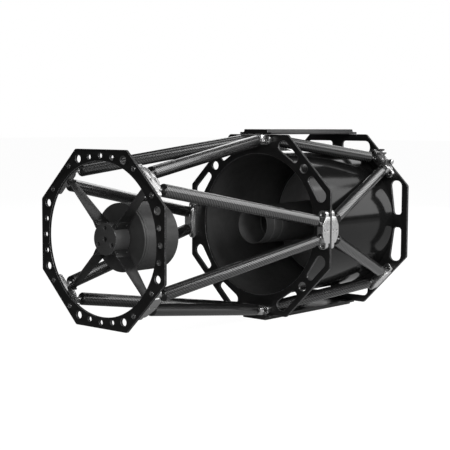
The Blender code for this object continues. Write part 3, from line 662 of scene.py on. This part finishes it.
def make_brackets():
    counterbored = bracket_parts(6.2)
    tapped = bracket_parts(3.2)
    grubs = set_screw_parts()
    head = socket_head(5.5, 5.5)
    flush = lathe(key_socket(2.2, 2.2, 5.2)
                  + [(2.5, 5.4), (3.9, 5.4), (4.4, 5.0), (4.4, 0.0), (0.0, 0.0)], 36)
    for label, angle in DIAGONALS.items():
        place = around(angle, THICK) @ shift(FRONT_BRACKET_RADIUS, 0.0, 0.0) @ BACKWARD
        name = "front_bracket_" + label
        bracket_piece(name, "_body", moved(tapped, place))
        bolts = moved(grubs, place)
        for side in (1, -1):
            bolts.append((flush, place @ shift(0.0, 0.3, BRACKET_BOLT * side)))
        fasteners(name + "_screws", bolts)
    for label, angle in CARDINALS.items():
        name = "mid_bracket_" + label
        front = around(angle, MID_STATION) @ shift(BODY_BRACKET_RADIUS, 0.0, 0.0)
        rear = front @ shift(0.0, THICK, 0.0) @ BACKWARD
        bracket_piece(name, "_front_half", moved(counterbored, front))
        bracket_piece(name, "_rear_half", moved(tapped, rear))
        bolts = moved(grubs, front) + moved(grubs, rear)
        for side in (1, -1):
            bolts.append((head, front @ shift(0.0, -6.5, BRACKET_BOLT * side) @ BACKWARD))
        fasteners(name + "_screws", bolts)
    for label, angle in DIAGONALS.items():
        name = "rear_bracket_" + label
        place = around(angle, REAR_STATION) @ shift(BODY_BRACKET_RADIUS, 0.0, 0.0)
        bracket_piece(name, "_body", moved(tapped, place))
        bolts = moved(grubs, place)
        for side in (1, -1):
            bolts.append((head, place @ shift(0.0, THICK + GAP, BRACKET_BOLT * side)))
        fasteners(name + "_screws", bolts)


# ---- truss tubes ----
TUBE_RADIUS, TUBE_WALL = 14.4, 1.8
STUD_RADIUS, STUD_LENGTH, CAP_LENGTH = 3.5, 5.5, 13.0
FRONT_END = (181.9, 21.6, 31.6)                           # radius, sideways offset and station of the joints
MID_FRONT_END = (210.8, 21.4, 506.8)
MID_REAR_END = (210.8, 21.4, 564.0)
REAR_END = (210.8, 21.4, 844.0)


def strut_axes():
    """The (name, start, end) of every tube: two from each diagonal, to the cardinals on both sides."""
    def joint(end, angle, way):
        radius, offset, station = end
        return polar(radius, offset * way, angle, station)

    front, rear = [], []
    for diagonal in DIAGONALS.values():
        for side in (1, -1):
            cardinal = diagonal + 45.0 * side
            front.append((joint(FRONT_END, diagonal, side), joint(MID_FRONT_END, cardinal, -side)))
            rear.append((joint(MID_REAR_END, cardinal, -side), joint(REAR_END, diagonal, side)))
    return [("%s_strut_%d" % (label, number), *ends) for label, group in (("front", front), ("rear", rear))
            for number, ends in enumerate(group, 1)]


def cap_mesh():
    """A stud and the cone that is bonded into the tube's end. Slot 1 is the bare stud."""
    stud = [(0.0, 0.0), (STUD_RADIUS - 0.4, 0.0), (STUD_RADIUS, 0.3), (STUD_RADIUS, STUD_LENGTH),
            (6.4, STUD_LENGTH)]
    cone = [(6.9, STUD_LENGTH + 0.5), (8.6, STUD_LENGTH + 1.6), (12.2, CAP_LENGTH - 3.4),
            (13.7, CAP_LENGTH - 1.5), (TUBE_RADIUS - 0.1, CAP_LENGTH - 0.3)]
    plug, plug_end = TUBE_RADIUS - TUBE_WALL - 0.1, CAP_LENGTH + 18.0
    back = [(TUBE_RADIUS - 0.1, CAP_LENGTH), (plug, CAP_LENGTH), (plug, plug_end), (plug - 2.0, plug_end),
            (plug - 2.0, CAP_LENGTH), (0.0, CAP_LENGTH - 2.0)]
    return lathe(slotted(stud) + cone + back, 48)


def make_struts():
    cap = cap_mesh()
    for name, start, end in strut_axes():
        place = aim(start, end)
        length = (end - start).length
        low, high = CAP_LENGTH + 0.1, length - CAP_LENGTH - 0.1
        inner, edge = TUBE_RADIUS - TUBE_WALL, TUBE_RADIUS - 0.3
        count = max(2, round((high - low) / 30.0))
        outside = [(TUBE_RADIUS, low + 0.3 + (high - low - 0.6) * k / count) for k in range(count + 1)]
        tube = lathe([(inner, low), (edge, low)] + outside + [(edge, high), (inner, high)], 60, closed=True)
        piece(name + "_tube", [(tube, place)], (CARBON,), replaces=(name,))
        piece(name + "_front_cap", [(cap, place)], (CAP_BLACK, STEEL))
        piece(name + "_rear_cap", [(cap, aim(end, start))], (CAP_BLACK, STEEL))


# ---- secondary mirror group ----
HUB_RADIUS, HUB_FRONT, HUB_REAR = 35.5, 13.0, 55.0
HUB_SCREW_RADIUS, HUB_RECESS = 24.6, 8.0
HUB_SCREW_ANGLES = (90.0, 210.0, 330.0)


def make_hub():
    face = [circle(HUB_RADIUS, count=96), circle(5.6, count=32)]
    for turn in map(math.radians, HUB_SCREW_ANGLES):
        face.append(circle(4.8, (HUB_SCREW_RADIUS * math.cos(turn), HUB_SCREW_RADIUS * math.sin(turn)), 28))
    drum = plate(face, HUB_REAR - HUB_FRONT, 0.9, 2)
    floor = plate([circle(HUB_RADIUS - 1.0, count=64)], HUB_REAR - HUB_FRONT - HUB_RECESS - 0.4)
    parts = [(drum, shift(0.0, START_Y + (HUB_FRONT + HUB_REAR) / 2.0, AXIS_Z) @ FACING),
             (floor, shift(0.0, START_Y + (HUB_FRONT + HUB_REAR + HUB_RECESS) / 2.0, AXIS_Z) @ FACING)]
    piece("spider_hub_body", parts, (HUB_GREY, HUB_EDGE_HIGHLIGHT_AND_WEAR), replaces=("spider_hub",))
    seat = HUB_FRONT + HUB_RECESS
    screw = socket_head(3.4, 4.0)
    screws = [(screw, around(angle, seat) @ shift(HUB_SCREW_RADIUS, 0.0, 0.0) @ BACKWARD)
              for angle in HUB_SCREW_ANGLES]
    screws.append((socket_head(4.2, 5.0), around(0.0, seat) @ BACKWARD))
    fasteners("secondary_collimation_screws", screws, DARK_SCREW)


def make_vanes():
    root, tip, end = HUB_RADIUS + 0.9, 54.0, 169.4
    root_half, tip_half = 5.5, 1.4
    blade = plate([[(tip - 6.0, 13.2), (end, 13.3), (end, 34.5), (tip - 6.0, 54.2)]], 2.0, 0.3)
    foot = plate([mirrored([(root, root_half), (tip, tip_half)], [0.6, 1.2], 3)], 41.2, 0.5)
    tab = cuboid((166.4, 13.8, -6.0), (170.2, 33.0, 6.0), 0.7)
    head = button_head(2.6, 1.3)
    flank = math.degrees(math.atan2(root_half - tip_half, tip - root))
    for label, angle in DIAGONALS.items():
        place = around(angle)
        name = "spider_vane_" + label
        parts = [(blade, place), (foot, place @ shift(0.0, 34.0, 0.0) @ FACING), (tab, place)]
        piece(name + "_blade", parts, (VANE_BLACK, VANE_EDGE_HIGHLIGHT_AND_WEAR), replaces=(name,))
        screws = []
        for station in (20.0, 47.0):
            for side in (1, -1):
                out = turned(90.0 * side, "X") @ turned(-flank, "Z")
                screws.append((head, place @ shift(44.0, station, 3.85 * side) @ out))
        for station in (18.0, 29.0):
            screws.append((head, place @ shift(166.2, station, 4.0) @ TO_RADIAL.inverted()))
        fasteners(name + "_screws", screws, DARK_SCREW)


def make_secondary():
    cell = lathe([(0.0, 98.0), (73.9, 98.0), (74.6, 97.3), (74.6, 63.9), (76.6, 63.5), (77.0, 63.1),
                  (77.0, 59.5), (76.5, 59.0), (9.6, 59.0), (9.0, 58.6), (9.0, 55.4), (0.0, 55.4)], 128)
    stand_in("secondary_cell_body", cell, (CUP_BLACK,), "secondary_cell")
    sleeve = lathe([(75.0, 66.4), (75.4, 65.2), (76.2, 65.0), (77.0, 66.2), (77.0, 72.0), (76.6, 72.4),
                    (77.0, 72.8), (77.0, 164.3), (76.3, 165.0), (75.6, 165.0), (75.0, 164.4), (75.0, 140.0),
                    (75.0, 110.0)], 128, closed=True)
    stand_in("secondary_baffle_sleeve", sleeve, (CUP_BLACK,), "secondary_baffle")
    front, rear, edge = 98.3, 120.3, 65.0
    ground = [(0.0, front), (edge - 0.8, front), (edge, front + 0.8), (edge, rear - 0.9),
              (edge - 0.8, rear - 0.1)]
    curve = [(radius, rear - 0.9 * (1.0 - (radius / edge) ** 2)) for radius in (64.0, 48.0, 32.0, 16.0)]
    glass = lathe(slotted(ground) + curve + [(0.0, rear - 0.9)], 96)
    stand_in("secondary_mirror_glass", glass, (MIRROR, GLASS), "secondary_mirror")


# ---- shroud and primary mirror ----
SHROUD_RADIUS, SHROUD_WALL = 183.0, 2.4
MIRROR_FRONT, MIRROR_REAR, MIRROR_RADIUS, MIRROR_BORE = 806.0, 846.0, 152.4, 55.5
FOCAL_LENGTH = 914.0


def make_shroud():
    low, high = MID_STATION + THICK + GAP, REAR_STATION - GAP
    inner = SHROUD_RADIUS - SHROUD_WALL
    steps = 8
    edge = SHROUD_RADIUS - 0.6
    outside = [(SHROUD_RADIUS, low + 0.6 + (high - low - 1.2) * k / steps) for k in range(steps + 1)]
    inside = [(inner, high - 0.6 - (high - low - 1.2) * k / steps) for k in range(steps + 1)]
    lining = slotted([(inner + 0.4, high)] + inside + [(inner + 0.4, low)])
    shell = lathe([(edge, low)] + outside + [(edge, high)] + lining, 180, closed=True)
    stand_in("light_shroud_tube", shell, (SHROUD_OUTER, SHROUD_INNER), "light_shroud")


def make_primary():
    curve = []
    for k in range(13):
        radius = MIRROR_BORE + 1.0 + (MIRROR_RADIUS - MIRROR_BORE - 2.4) * k / 12
        sag = (MIRROR_RADIUS ** 2 - radius ** 2) / (4.0 * FOCAL_LENGTH)
        curve.append((radius, MIRROR_FRONT + sag))
    bore = slotted([(MIRROR_BORE, MIRROR_REAR - 1.0), (MIRROR_BORE, MIRROR_FRONT + 6.8)])
    edge = slotted([(MIRROR_RADIUS, MIRROR_FRONT + 1.4), (MIRROR_RADIUS, MIRROR_REAR - 1.0),
                    (MIRROR_RADIUS - 1.0, MIRROR_REAR), (MIRROR_BORE + 1.0, MIRROR_REAR)])
    glass = lathe(bore + curve + edge, 180, closed=True)
    stand_in("primary_mirror_glass", glass, (MIRROR, GLASS), "primary_mirror")
    holes = [circle(156.0, count=120), circle(56.0, count=72)]
    for angle in FAN_ANGLES:
        holes.append(spun(circle(30.0, (100.0, 0.0), 60), angle))
    base = plate(holes, 12.0, 0.7, 2)
    rim = lathe([(154.4, 809.0), (155.2, 808.0), (157.7, 808.0), (158.5, 808.8), (158.5, 865.2),
                 (157.7, 866.0), (155.0, 866.0), (154.4, 865.4)], 160, closed=True)
    boss = lathe([(0.0, 846.4), (11.2, 846.4), (12.0, 847.2), (12.0, 869.2), (0.0, 869.2)], 40)
    parts = [(base, shift(0.0, START_Y + 858.0, AXIS_Z) @ FACING), (rim, ON_AXIS)]
    parts += [(boss, around(angle) @ shift(SUPPORT_RADIUS, 0.0, 0.0)) for angle in SUPPORT_ANGLES]
    piece("primary_cell_body", parts, (CELL_BLACK, RING_EDGE_HIGHLIGHT_AND_WEAR), replaces=("primary_cell",))


SNOUT_FRONT, SNOUT_RADIUS, SNOUT_WALL = 513.0, 47.2, 1.8
BAFFLE_RADIUS, BAFFLE_WALL, BAFFLE_THROAT, BAFFLE_BACK = 53.0, 1.9, 800.0, 868.8


def make_primary_baffle():
    """The snout with two sharp stray-light rings outside, rings deep inside, a cone and a flange."""
    snout, front, ridge = SNOUT_RADIUS, SNOUT_FRONT, 1.0
    outside = [(snout - 0.8, front), (snout, front + 0.6)]
    for start in (30.0, 62.0):
        base = front + start
        outside += [(snout, base - 1.6), (snout + ridge, base - 0.3), (snout + ridge, base + 0.3),
                    (snout, base + 1.6)]
    tube, back = BAFFLE_RADIUS, BAFFLE_BACK
    outside += [(tube - 0.2, BAFFLE_THROAT - 2.0), (tube, BAFFLE_THROAT), (tube, back - 4.2),
                (tube + 9.3, back - 4.2), (tube + 10.0, back - 3.5), (tube + 10.0, back - 0.6),
                (tube + 9.4, back)]
    bore = tube - BAFFLE_WALL
    inside = [(bore, back), (bore, BAFFLE_THROAT + 1.0)]
    low, high, rings = front + 90.0, BAFFLE_THROAT - 10.0, 8
    for k in range(rings):
        station = high - (high - low) * k / (rings - 1)
        wall = snout - SNOUT_WALL + (bore - snout + SNOUT_WALL) * (station - front) / (BAFFLE_THROAT - front)
        inside += [(wall, station + 2.0), (wall - 1.4, station + 0.3), (wall - 1.4, station - 0.3),
                   (wall, station - 2.0)]
    inside += [(snout - SNOUT_WALL, front + 0.8), (snout - SNOUT_WALL + 0.4, front)]
    mesh = lathe(outside + inside, 112, closed=True)
    stand_in("primary_baffle_tube", mesh, (BAFFLE_BLACK,), "primary_baffle")


# ---- rear port, focuser ----
def make_port():
    flange = lathe([(46.0, 870.4), (46.6, 869.9), (61.4, 869.9), (61.4, 876.3), (73.4, 876.3), (74.0, 876.9),
                    (74.0, 880.9), (73.0, 881.9), (59.5, 881.9), (58.5, 882.9), (58.5, 904.3), (57.8, 905.0),
                    (46.8, 905.0), (46.0, 904.2)], 112, closed=True)
    stand_in("rear_port_flange_body", flange, (FOCUSER_BLACK,), "rear_port_flange")
    head = socket_head(2.8, 2.6)
    screws = [(head, around(angle, 881.9) @ shift(66.5, 0.0, 0.0)) for angle in range(0, 360, 45)]
    fasteners("rear_port_flange_screws", screws)


SHAFT_PLACE = ON_AXIS @ shift(0.0, 945.0, -47.9)
LOCK_STATION = 931.0


def make_focuser():
    body = lathe([(45.2, 906.0), (45.9, 905.3), (55.0, 905.3), (56.0, 906.3), (56.0, 916.3), (55.0, 917.3),
                  (50.6, 917.3), (50.0, 917.9), (50.0, 972.0), (49.4, 972.6), (50.0, 973.2), (50.0, 984.0),
                  (49.0, 985.0), (45.8, 985.0), (45.2, 984.4)], 112, closed=True)
    housing = cuboid((-36.0, 924.0, -66.0), (36.0, 966.0, -46.6), 1.6)
    bearing = lathe([(3.4, 36.0), (3.4, 40.6), (7.2, 40.6), (8.0, 39.8), (8.0, 36.0)], 48, closed=True)
    parts = [(body, ON_AXIS), (housing, ON_AXIS)]
    for way in (TO_RADIAL, TO_RADIAL.inverted()):
        parts.append((bearing, SHAFT_PLACE @ way))
    collar = lathe([(2.9, 0.0), (5.5, 0.0), (6.0, -0.5), (6.0, -3.0), (2.9, -3.0)], 40, closed=True)
    parts.append((collar, ON_AXIS @ shift(0.0, LOCK_STATION, -65.6) @ DOWNWARD))
    piece("focuser_housing", parts, (FOCUSER_BLACK, RING_EDGE_HIGHLIGHT_AND_WEAR), replaces=("focuser_body",))
    head = socket_head(2.4, 1.6)
    screws = [(head, ON_AXIS @ shift(x, y, -65.9) @ DOWNWARD) for x in (-29.0, 29.0) for y in (930.5, 959.5)]
    fasteners("focuser_housing_screws", screws)


def make_drawtube():
    end = CAD_BOX[1].y / MM - START_Y
    clamp = [(49.0, 986.5), (50.0, 987.5), (50.0, 991.5), (49.2, 992.3), (49.2, 1000.0, knurl(90, 0.016)),
             (50.0, 1001.0), (50.0, end - 1.0), (49.0, end), (26.8, end), (25.6, end - 1.2), (25.6, 996.6)]
    tube = lathe([(41.0, 912.6), (41.6, 912.0), (43.8, 912.0), (44.4, 912.6), (44.4, 986.5)] + slotted(clamp)
                 + [(26.2, 996.0), (41.0, 996.0)], 180, closed=True)
    stand_in("focuser_drawtube_body", tube, (FOCUSER_SILVER, FOCUSER_BLACK),
             "focuser_drawtube", body="drawtube")
    head = socket_head(2.0, 1.2)
    screws = [(head, around(angle, 1005.0) @ shift(48.7, 0.0, 0.0) @ TO_RADIAL)
              for angle in (60.0, 180.0, 300.0)]
    fasteners("eyepiece_clamp_screws", screws, body="drawtube")


def ridged(radius, low, high, teeth, depth=0.05):
    """A grip band with rounded shoulders and ridges round it."""
    grip = knurl(teeth, depth)
    return [(radius * 0.93, low), (radius * 0.98, low + 0.8), (radius, low + 1.6, grip),
            (radius, high - 1.6, grip), (radius * 0.98, high - 0.8), (radius * 0.93, high)]


def make_knobs():
    right, left = SHAFT_PLACE @ TO_RADIAL, SHAFT_PLACE @ TO_RADIAL.inverted()
    knob = lathe([(3.0, 41.5)] + ridged(17.0, 41.5, 58.0, 48) + [(12.0, 57.6), (11.0, 56.6), (3.0, 56.6)],
                 192, closed=True)
    shaft = lathe([(0.0, -57.0), (3.0, -57.0), (3.0, 57.0), (0.0, 57.0)], 32)
    cover = lathe([(0.0, 56.6), (10.6, 56.6), (10.6, 57.4), (0.0, 57.4)], 48)
    piece("coarse_focus_knob_pair", [(knob, right), (knob, left), (shaft, right), (cover, left)],
          (KNOB_BLACK, STEEL), body="coarse_knobs", replaces=("coarse_focus_knobs",))
    fine = lathe([(0.0, 58.3), (9.0, 58.3)] + ridged(10.5, 58.6, 70.4, 36)[1:]
                 + [(8.0, 71.0), (0.0, 71.0)], 144)
    stand_in("fine_focus_knob_grip", fine, (FOCUSER_SILVER,), "fine_focus_knob",
             right, "fine_knob")
    lock = lathe(slotted([(0.0, 58.0), (2.4, 58.0), (2.4, 68.5)]) + [(6.6, 68.5)]
                 + ridged(8.0, 68.6, 81.6, 28, 0.07)[1:] + [(6.0, 82.0), (0.0, 82.0)], 140)
    stand_in("focus_lock_screw_knob", lock, (KNOB_BLACK, STEEL), "focus_lock_screw",
             ON_AXIS @ shift(0.0, LOCK_STATION, 0.0) @ DOWNWARD, "lock_screw")


# ---- fans ----
FAN_LOW, FAN_HIGH, FAN_HALF = 875.9, 895.9, 36.0
FAN_CORNERS = [(FAN_BOLT * x, FAN_BOLT * z) for x in (1, -1) for z in (1, -1)]
BLADES = 7


def rotor_blade():
    """One curved, twisted and tapered fan blade with a real thickness, out along local X."""
    bm = bmesh.new()
    rows, columns = 9, 7
    inner, outer, chord = 13.6, 31.4, 15.0
    grid = []
    for side in (0, 1):
        sheet = []
        for i in range(rows):
            share = i / (rows - 1)
            radius = inner + (outer - inner) * share
            pitch = math.radians(48.0 - 18.0 * share)
            line = []
            for j in range(columns):
                across = (j / (columns - 1) - 0.5) * chord * (0.80 + 0.25 * share)
                camber = 1.6 * (1.0 - (2.0 * j / (columns - 1) - 1.0) ** 2)
                thick = (0.55 if side else -0.55) * (1.0 - 0.6 * abs(2.0 * j / (columns - 1) - 1.0))
                sideways = across * math.cos(pitch) + (camber + thick) * math.sin(pitch)
                along = across * math.sin(pitch) - (camber + thick) * math.cos(pitch)
                sweep = sideways / radius
                line.append(bm.verts.new((radius * math.cos(sweep), along, radius * math.sin(sweep))))
            sheet.append(line)
        grid.append(sheet)
    for sheet in grid:
        for i in range(rows - 1):
            for j in range(columns - 1):
                bm.faces.new((sheet[i][j], sheet[i][j + 1], sheet[i + 1][j + 1], sheet[i + 1][j]))
    rim = [(0, j) for j in range(columns)] + [(i, columns - 1) for i in range(1, rows)] \
        + [(rows - 1, j) for j in range(columns - 2, -1, -1)] + [(i, 0) for i in range(rows - 2, 0, -1)]
    for (i, j), (m, n) in zip(rim, rim[1:] + rim[:1]):
        bm.faces.new((grid[0][i][j], grid[0][m][n], grid[1][m][n], grid[1][i][j]))
    mesh = bpy.data.meshes.new("blade")
    bm.to_mesh(mesh)
    bm.free()
    return settle(mesh)


def make_fans():
    square = mirrored([(-FAN_HALF, FAN_HALF), (FAN_HALF, FAN_HALF)], [5.0, 5.0])
    bolt_holes = [circle(2.1, corner, 20) for corner in FAN_CORNERS]
    flange = plate([square, circle(FAN_BORE, count=72)] + bolt_holes, 3.6, 0.5)
    low, high = FAN_LOW + 3.0, FAN_HIGH - 3.0
    barrel = lathe([(FAN_BORE, low), (34.9, low), (34.9, high), (FAN_BORE, high)], 72, closed=True)
    motor = lathe([(0.0, FAN_HIGH - 3.4), (13.0, FAN_HIGH - 3.4), (13.0, FAN_HIGH - 1.0),
                   (12.4, FAN_HIGH - 0.4), (0.0, FAN_HIGH - 0.4)], 48)
    arm = cuboid((12.0, FAN_HIGH - 3.2, -2.0), (34.2, FAN_HIGH - 0.4, 2.0), 0.5)
    post = lathe([(2.6, low), (4.6, low), (4.6, high), (2.6, high)], 24, closed=True)
    head = button_head(3.6, 1.9)
    blade = rotor_blade()
    hub = lathe([(0.0, 878.9), (12.6, 878.9), (13.6, 879.5), (14.0, 880.5), (14.0, 891.6), (13.5, 892.1),
                 (0.0, 892.1)], 64)
    for number, angle in enumerate(FAN_ANGLES, 1):
        centre = around(angle) @ shift(FAN_RADIUS, 0.0, 0.0)
        parts = [(flange, centre @ shift(0.0, FAN_LOW + 1.8, 0.0) @ FACING),
                 (flange, centre @ shift(0.0, FAN_HIGH - 1.8, 0.0) @ FACING), (barrel, centre),
                 (motor, centre)]
        for way in SUPPORT_ANGLES:
            parts.append((arm, centre @ turned(-way, "Y")))
        parts += [(post, centre @ shift(x, 0.0, z)) for x, z in FAN_CORNERS]
        piece("fan_frame_%d_moulding" % number, parts, (FAN_PLASTIC, FAN_PLASTIC),
              replaces=("fan_frame_%d" % number,))
        screws = [(head, centre @ shift(x, FAN_HIGH - 0.1, z)) for x, z in FAN_CORNERS]
        fasteners("fan_%d_screws" % number, screws)
        axle = Matrix.Translation(polar(FAN_RADIUS, 0.0, angle, 0.0))
        wheel = [(hub, axle)]
        for k in range(BLADES):
            wheel.append((blade, axle @ shift(0.0, 885.4, 0.0) @ turned(360.0 * k / BLADES, "Y")))
        piece("fan_rotor_%d_wheel" % number, wheel, (ROTOR_PLASTIC,), body="rotor_%d" % number,
              replaces=("fan_rotor_%d" % number,))


# ---- dovetails, finder shoe ----
DOVETAIL_LOW, DOVETAIL_HIGH = 522.0, 887.0
DOVETAIL_FACE = 238.2
DOVETAIL_BOLTS = (535.4, 552.0, 856.0, 872.6)


def dovetail_mesh():
    """The stepped section extruded along the tube, with its long edges broken, about local X out."""
    near, step, wide, narrow = 225.6, 231.2, 50.8, 36.5
    section = mirrored([(near, wide), (step, wide), (step, narrow + 2.0), (DOVETAIL_FACE, narrow)],
                       [0.5, 0.8, 0.6, 1.0], 3)
    return plate([section], DOVETAIL_HIGH - DOVETAIL_LOW, 0.7, 2)


def make_dovetails():
    mesh = dovetail_mesh()
    head = button_head(4.8, 1.9)
    middle = (DOVETAIL_LOW + DOVETAIL_HIGH) / 2.0
    for label, angle in (("top", 90.0), ("bottom", 270.0)):
        name = label + "_dovetail"
        stand_in(name + "_plate", mesh, (DOVETAIL_BLACK, DOVETAIL_EDGE_HIGHLIGHT_AND_WEAR), name,
                 around(angle, middle) @ FACING)
        bolts = [(head, around(angle, station) @ shift(DOVETAIL_FACE - 2.0, 0.0, 0.0) @ TO_RADIAL)
                 for station in DOVETAIL_BOLTS]
        fasteners(name + "_bolts", bolts)


def make_finder_shoe():
    base = BODY_BRACKET_RADIUS + BLOCK_OUT + GAP
    floor, jaw = base + 5.0, base + 13.8
    section = mirrored([(base, 20.0), (base + 8.2, 20.0), (jaw, 14.4), (jaw, 11.0), (floor, 12.5)],
                       [0.8, 0.8, 0.8, 0.5, 0.8], 3)
    low, high = 838.0, 868.0
    angle = DIAGONALS["upper_right"]
    place = around(angle, (low + high) / 2.0) @ FACING
    mesh = plate([section], high - low, 0.6, 2)
    stand_in("finder_shoe_body", mesh, (SHOE_GREY, SHOE_EDGE_HIGHLIGHT_AND_WEAR), "finder_shoe", place)
    head = button_head(3.6, 1.8)
    screws = [(head, around(angle, station) @ shift(floor, 0.0, 0.0) @ TO_RADIAL)
              for station in (845.0, 861.0)]
    fasteners("finder_shoe_screws", screws)
    grip = knurl(30, 0.07)
    knob = lathe(slotted([(0.0, -8.0), (2.2, -8.0), (2.2, 3.6)])
                 + [(5.6, 4.0), (6.9, 4.6), (7.2, 5.2, grip), (7.2, 8.0, grip), (6.7, 8.6)]
                 + slotted([(6.0, 9.0), (0.0, 9.0)]), 120)
    for number, (side, turn) in enumerate(((1, FACING), (-1, TO_RADIAL)), 1):
        place = Matrix.Translation(polar(base + 11.0, side * 17.2, angle, 853.0)) @ turn
        stand_in("finder_thumbscrew_%d_knob" % number, knob, (KNOB_BLACK, STEEL),
                 "finder_thumbscrew_%d" % number, place, "shoe_screw_%d" % number)


# ---- stage ----
def make_floor():
    mesh = bpy.data.meshes.new("floor")
    bm = bmesh.new()
    bmesh.ops.create_grid(bm, x_segments=8, y_segments=8, size=30.0)
    bmesh.ops.translate(bm, vec=(0.0, 0.0, CAD_BOX[0].z - 0.0006), verts=bm.verts)
    bm.to_mesh(mesh)
    bm.free()
    shader = Shader("floor_pale", Roughness=0.9)
    # To the camera the floor is an even white; to rays from the object it glows as painted light, dim under
    # and left of the tube and brighter to the right and rear, for reflections on the lower flanks.
    seen = shader.node("ShaderNodeLightPath").outputs["Is Camera Ray"]
    split = shader.node("ShaderNodeSeparateXYZ")
    shader.link(shader.place(), split.inputs["Vector"])
    across = shader.math("ADD", shader.math("MULTIPLY", split.outputs["X"], 0.8), 0.5)
    along = shader.math("ADD", shader.math("MULTIPLY", split.outputs["Y"], 0.6), across)
    sweep = shader.ramp(along, [(0.4, 0.02), (0.8, 0.32)])
    shader.surface.inputs["Emission Color"].default_value = (1.0, 1.0, 1.0, 1.0)
    shader.colour(shader.mix(seen, (0.30, 0.30, 0.30), (0.10, 0.10, 0.10)))
    shader.link(shader.mix(seen, sweep, (0.97, 0.97, 0.97)), shader.surface.inputs["Emission Strength"])
    mesh.materials.append(shader.material)
    floor = bpy.data.objects.new("floor", mesh)
    bpy.context.scene.collection.objects.link(floor)


def make_light(name, place, target, size, power):
    light = bpy.data.lights.new(name, "AREA")
    light.shape = "RECTANGLE"
    light.size, light.size_y = size
    light.energy = power
    item = bpy.data.objects.new(name, light)
    item.location = place
    item.rotation_euler = (Vector(target) - Vector(place)).to_track_quat("-Z", "Y").to_euler()
    bpy.context.scene.collection.objects.link(item)


def make_world():
    """White to the camera, a dim even grey to the object."""
    world = bpy.data.worlds.new("studio")
    world.use_nodes = True
    tree = world.node_tree
    tree.nodes.clear()
    output = tree.nodes.new("ShaderNodeOutputWorld")
    mix = tree.nodes.new("ShaderNodeMixShader")
    path = tree.nodes.new("ShaderNodeLightPath")
    seen, lit = tree.nodes.new("ShaderNodeBackground"), tree.nodes.new("ShaderNodeBackground")
    seen.inputs["Color"].default_value = (1.0, 1.0, 1.0, 1.0)
    lit.inputs["Color"].default_value = (1.0, 1.0, 1.0, 1.0)
    lit.inputs["Strength"].default_value = 0.04
    tree.links.new(path.outputs["Is Camera Ray"], mix.inputs["Fac"])
    tree.links.new(lit.outputs[0], mix.inputs[1])
    tree.links.new(seen.outputs[0], mix.inputs[2])
    tree.links.new(mix.outputs[0], output.inputs["Surface"])
    bpy.context.scene.world = world


def make_camera():
    turn, rise, roll = 0.72078, 0.0876, 0.00498
    ahead = Vector((-math.sin(turn) * math.cos(rise), math.cos(turn) * math.cos(rise), -math.sin(rise)))
    right = Vector((math.cos(turn), math.sin(turn), 0.0))
    up = right.cross(ahead)
    rolled_right = right * math.cos(roll) + up * math.sin(roll)
    rolled_up = up * math.cos(roll) - right * math.sin(roll)
    camera = bpy.data.cameras.new("camera")
    camera.lens, camera.sensor_width = 91.473, 36.0
    item = bpy.data.objects.new("camera", camera)
    place = Matrix((rolled_right, rolled_up, -ahead)).transposed().to_4x4()
    place.translation = (1.827345, -2.176774, 0.487466)
    item.matrix_world = place
    bpy.context.scene.collection.objects.link(item)
    bpy.context.scene.camera = item


make_camera()
make_world()
make_floor()
MIDDLE = (0.0, 0.0, AXIS_Z * MM)
make_light("key_right", (2.5, 2.4, 1.7), MIDDLE, (2.8, 2.6), 60.0)
make_light("side_right", (2.9, -0.9, 1.9), MIDDLE, (1.2, 1.2), 52.0)
make_light("top_strip", (0.5, 1.3, 2.35), MIDDLE, (0.6, 2.6), 9.0)
make_light("front_fill", (2.6, -3.2, 1.4), MIDDLE, (1.8, 1.8), 52.0)
make_light("rear_fill", (-1.6, 3.2, 1.7), MIDDLE, (2.2, 2.2), 30.0)

make_front_ring()
make_mid_ring()
make_rear_ring()
make_brackets()
make_struts()
make_hub()
make_vanes()
make_secondary()
make_shroud()
make_primary()
make_primary_baffle()
make_port()
make_focuser()
make_drawtube()
make_knobs()
make_fans()
make_dovetails()
make_finder_shoe()

bpy.context.scene.view_settings.view_transform = "Standard"
bpy.context.view_layer.update()
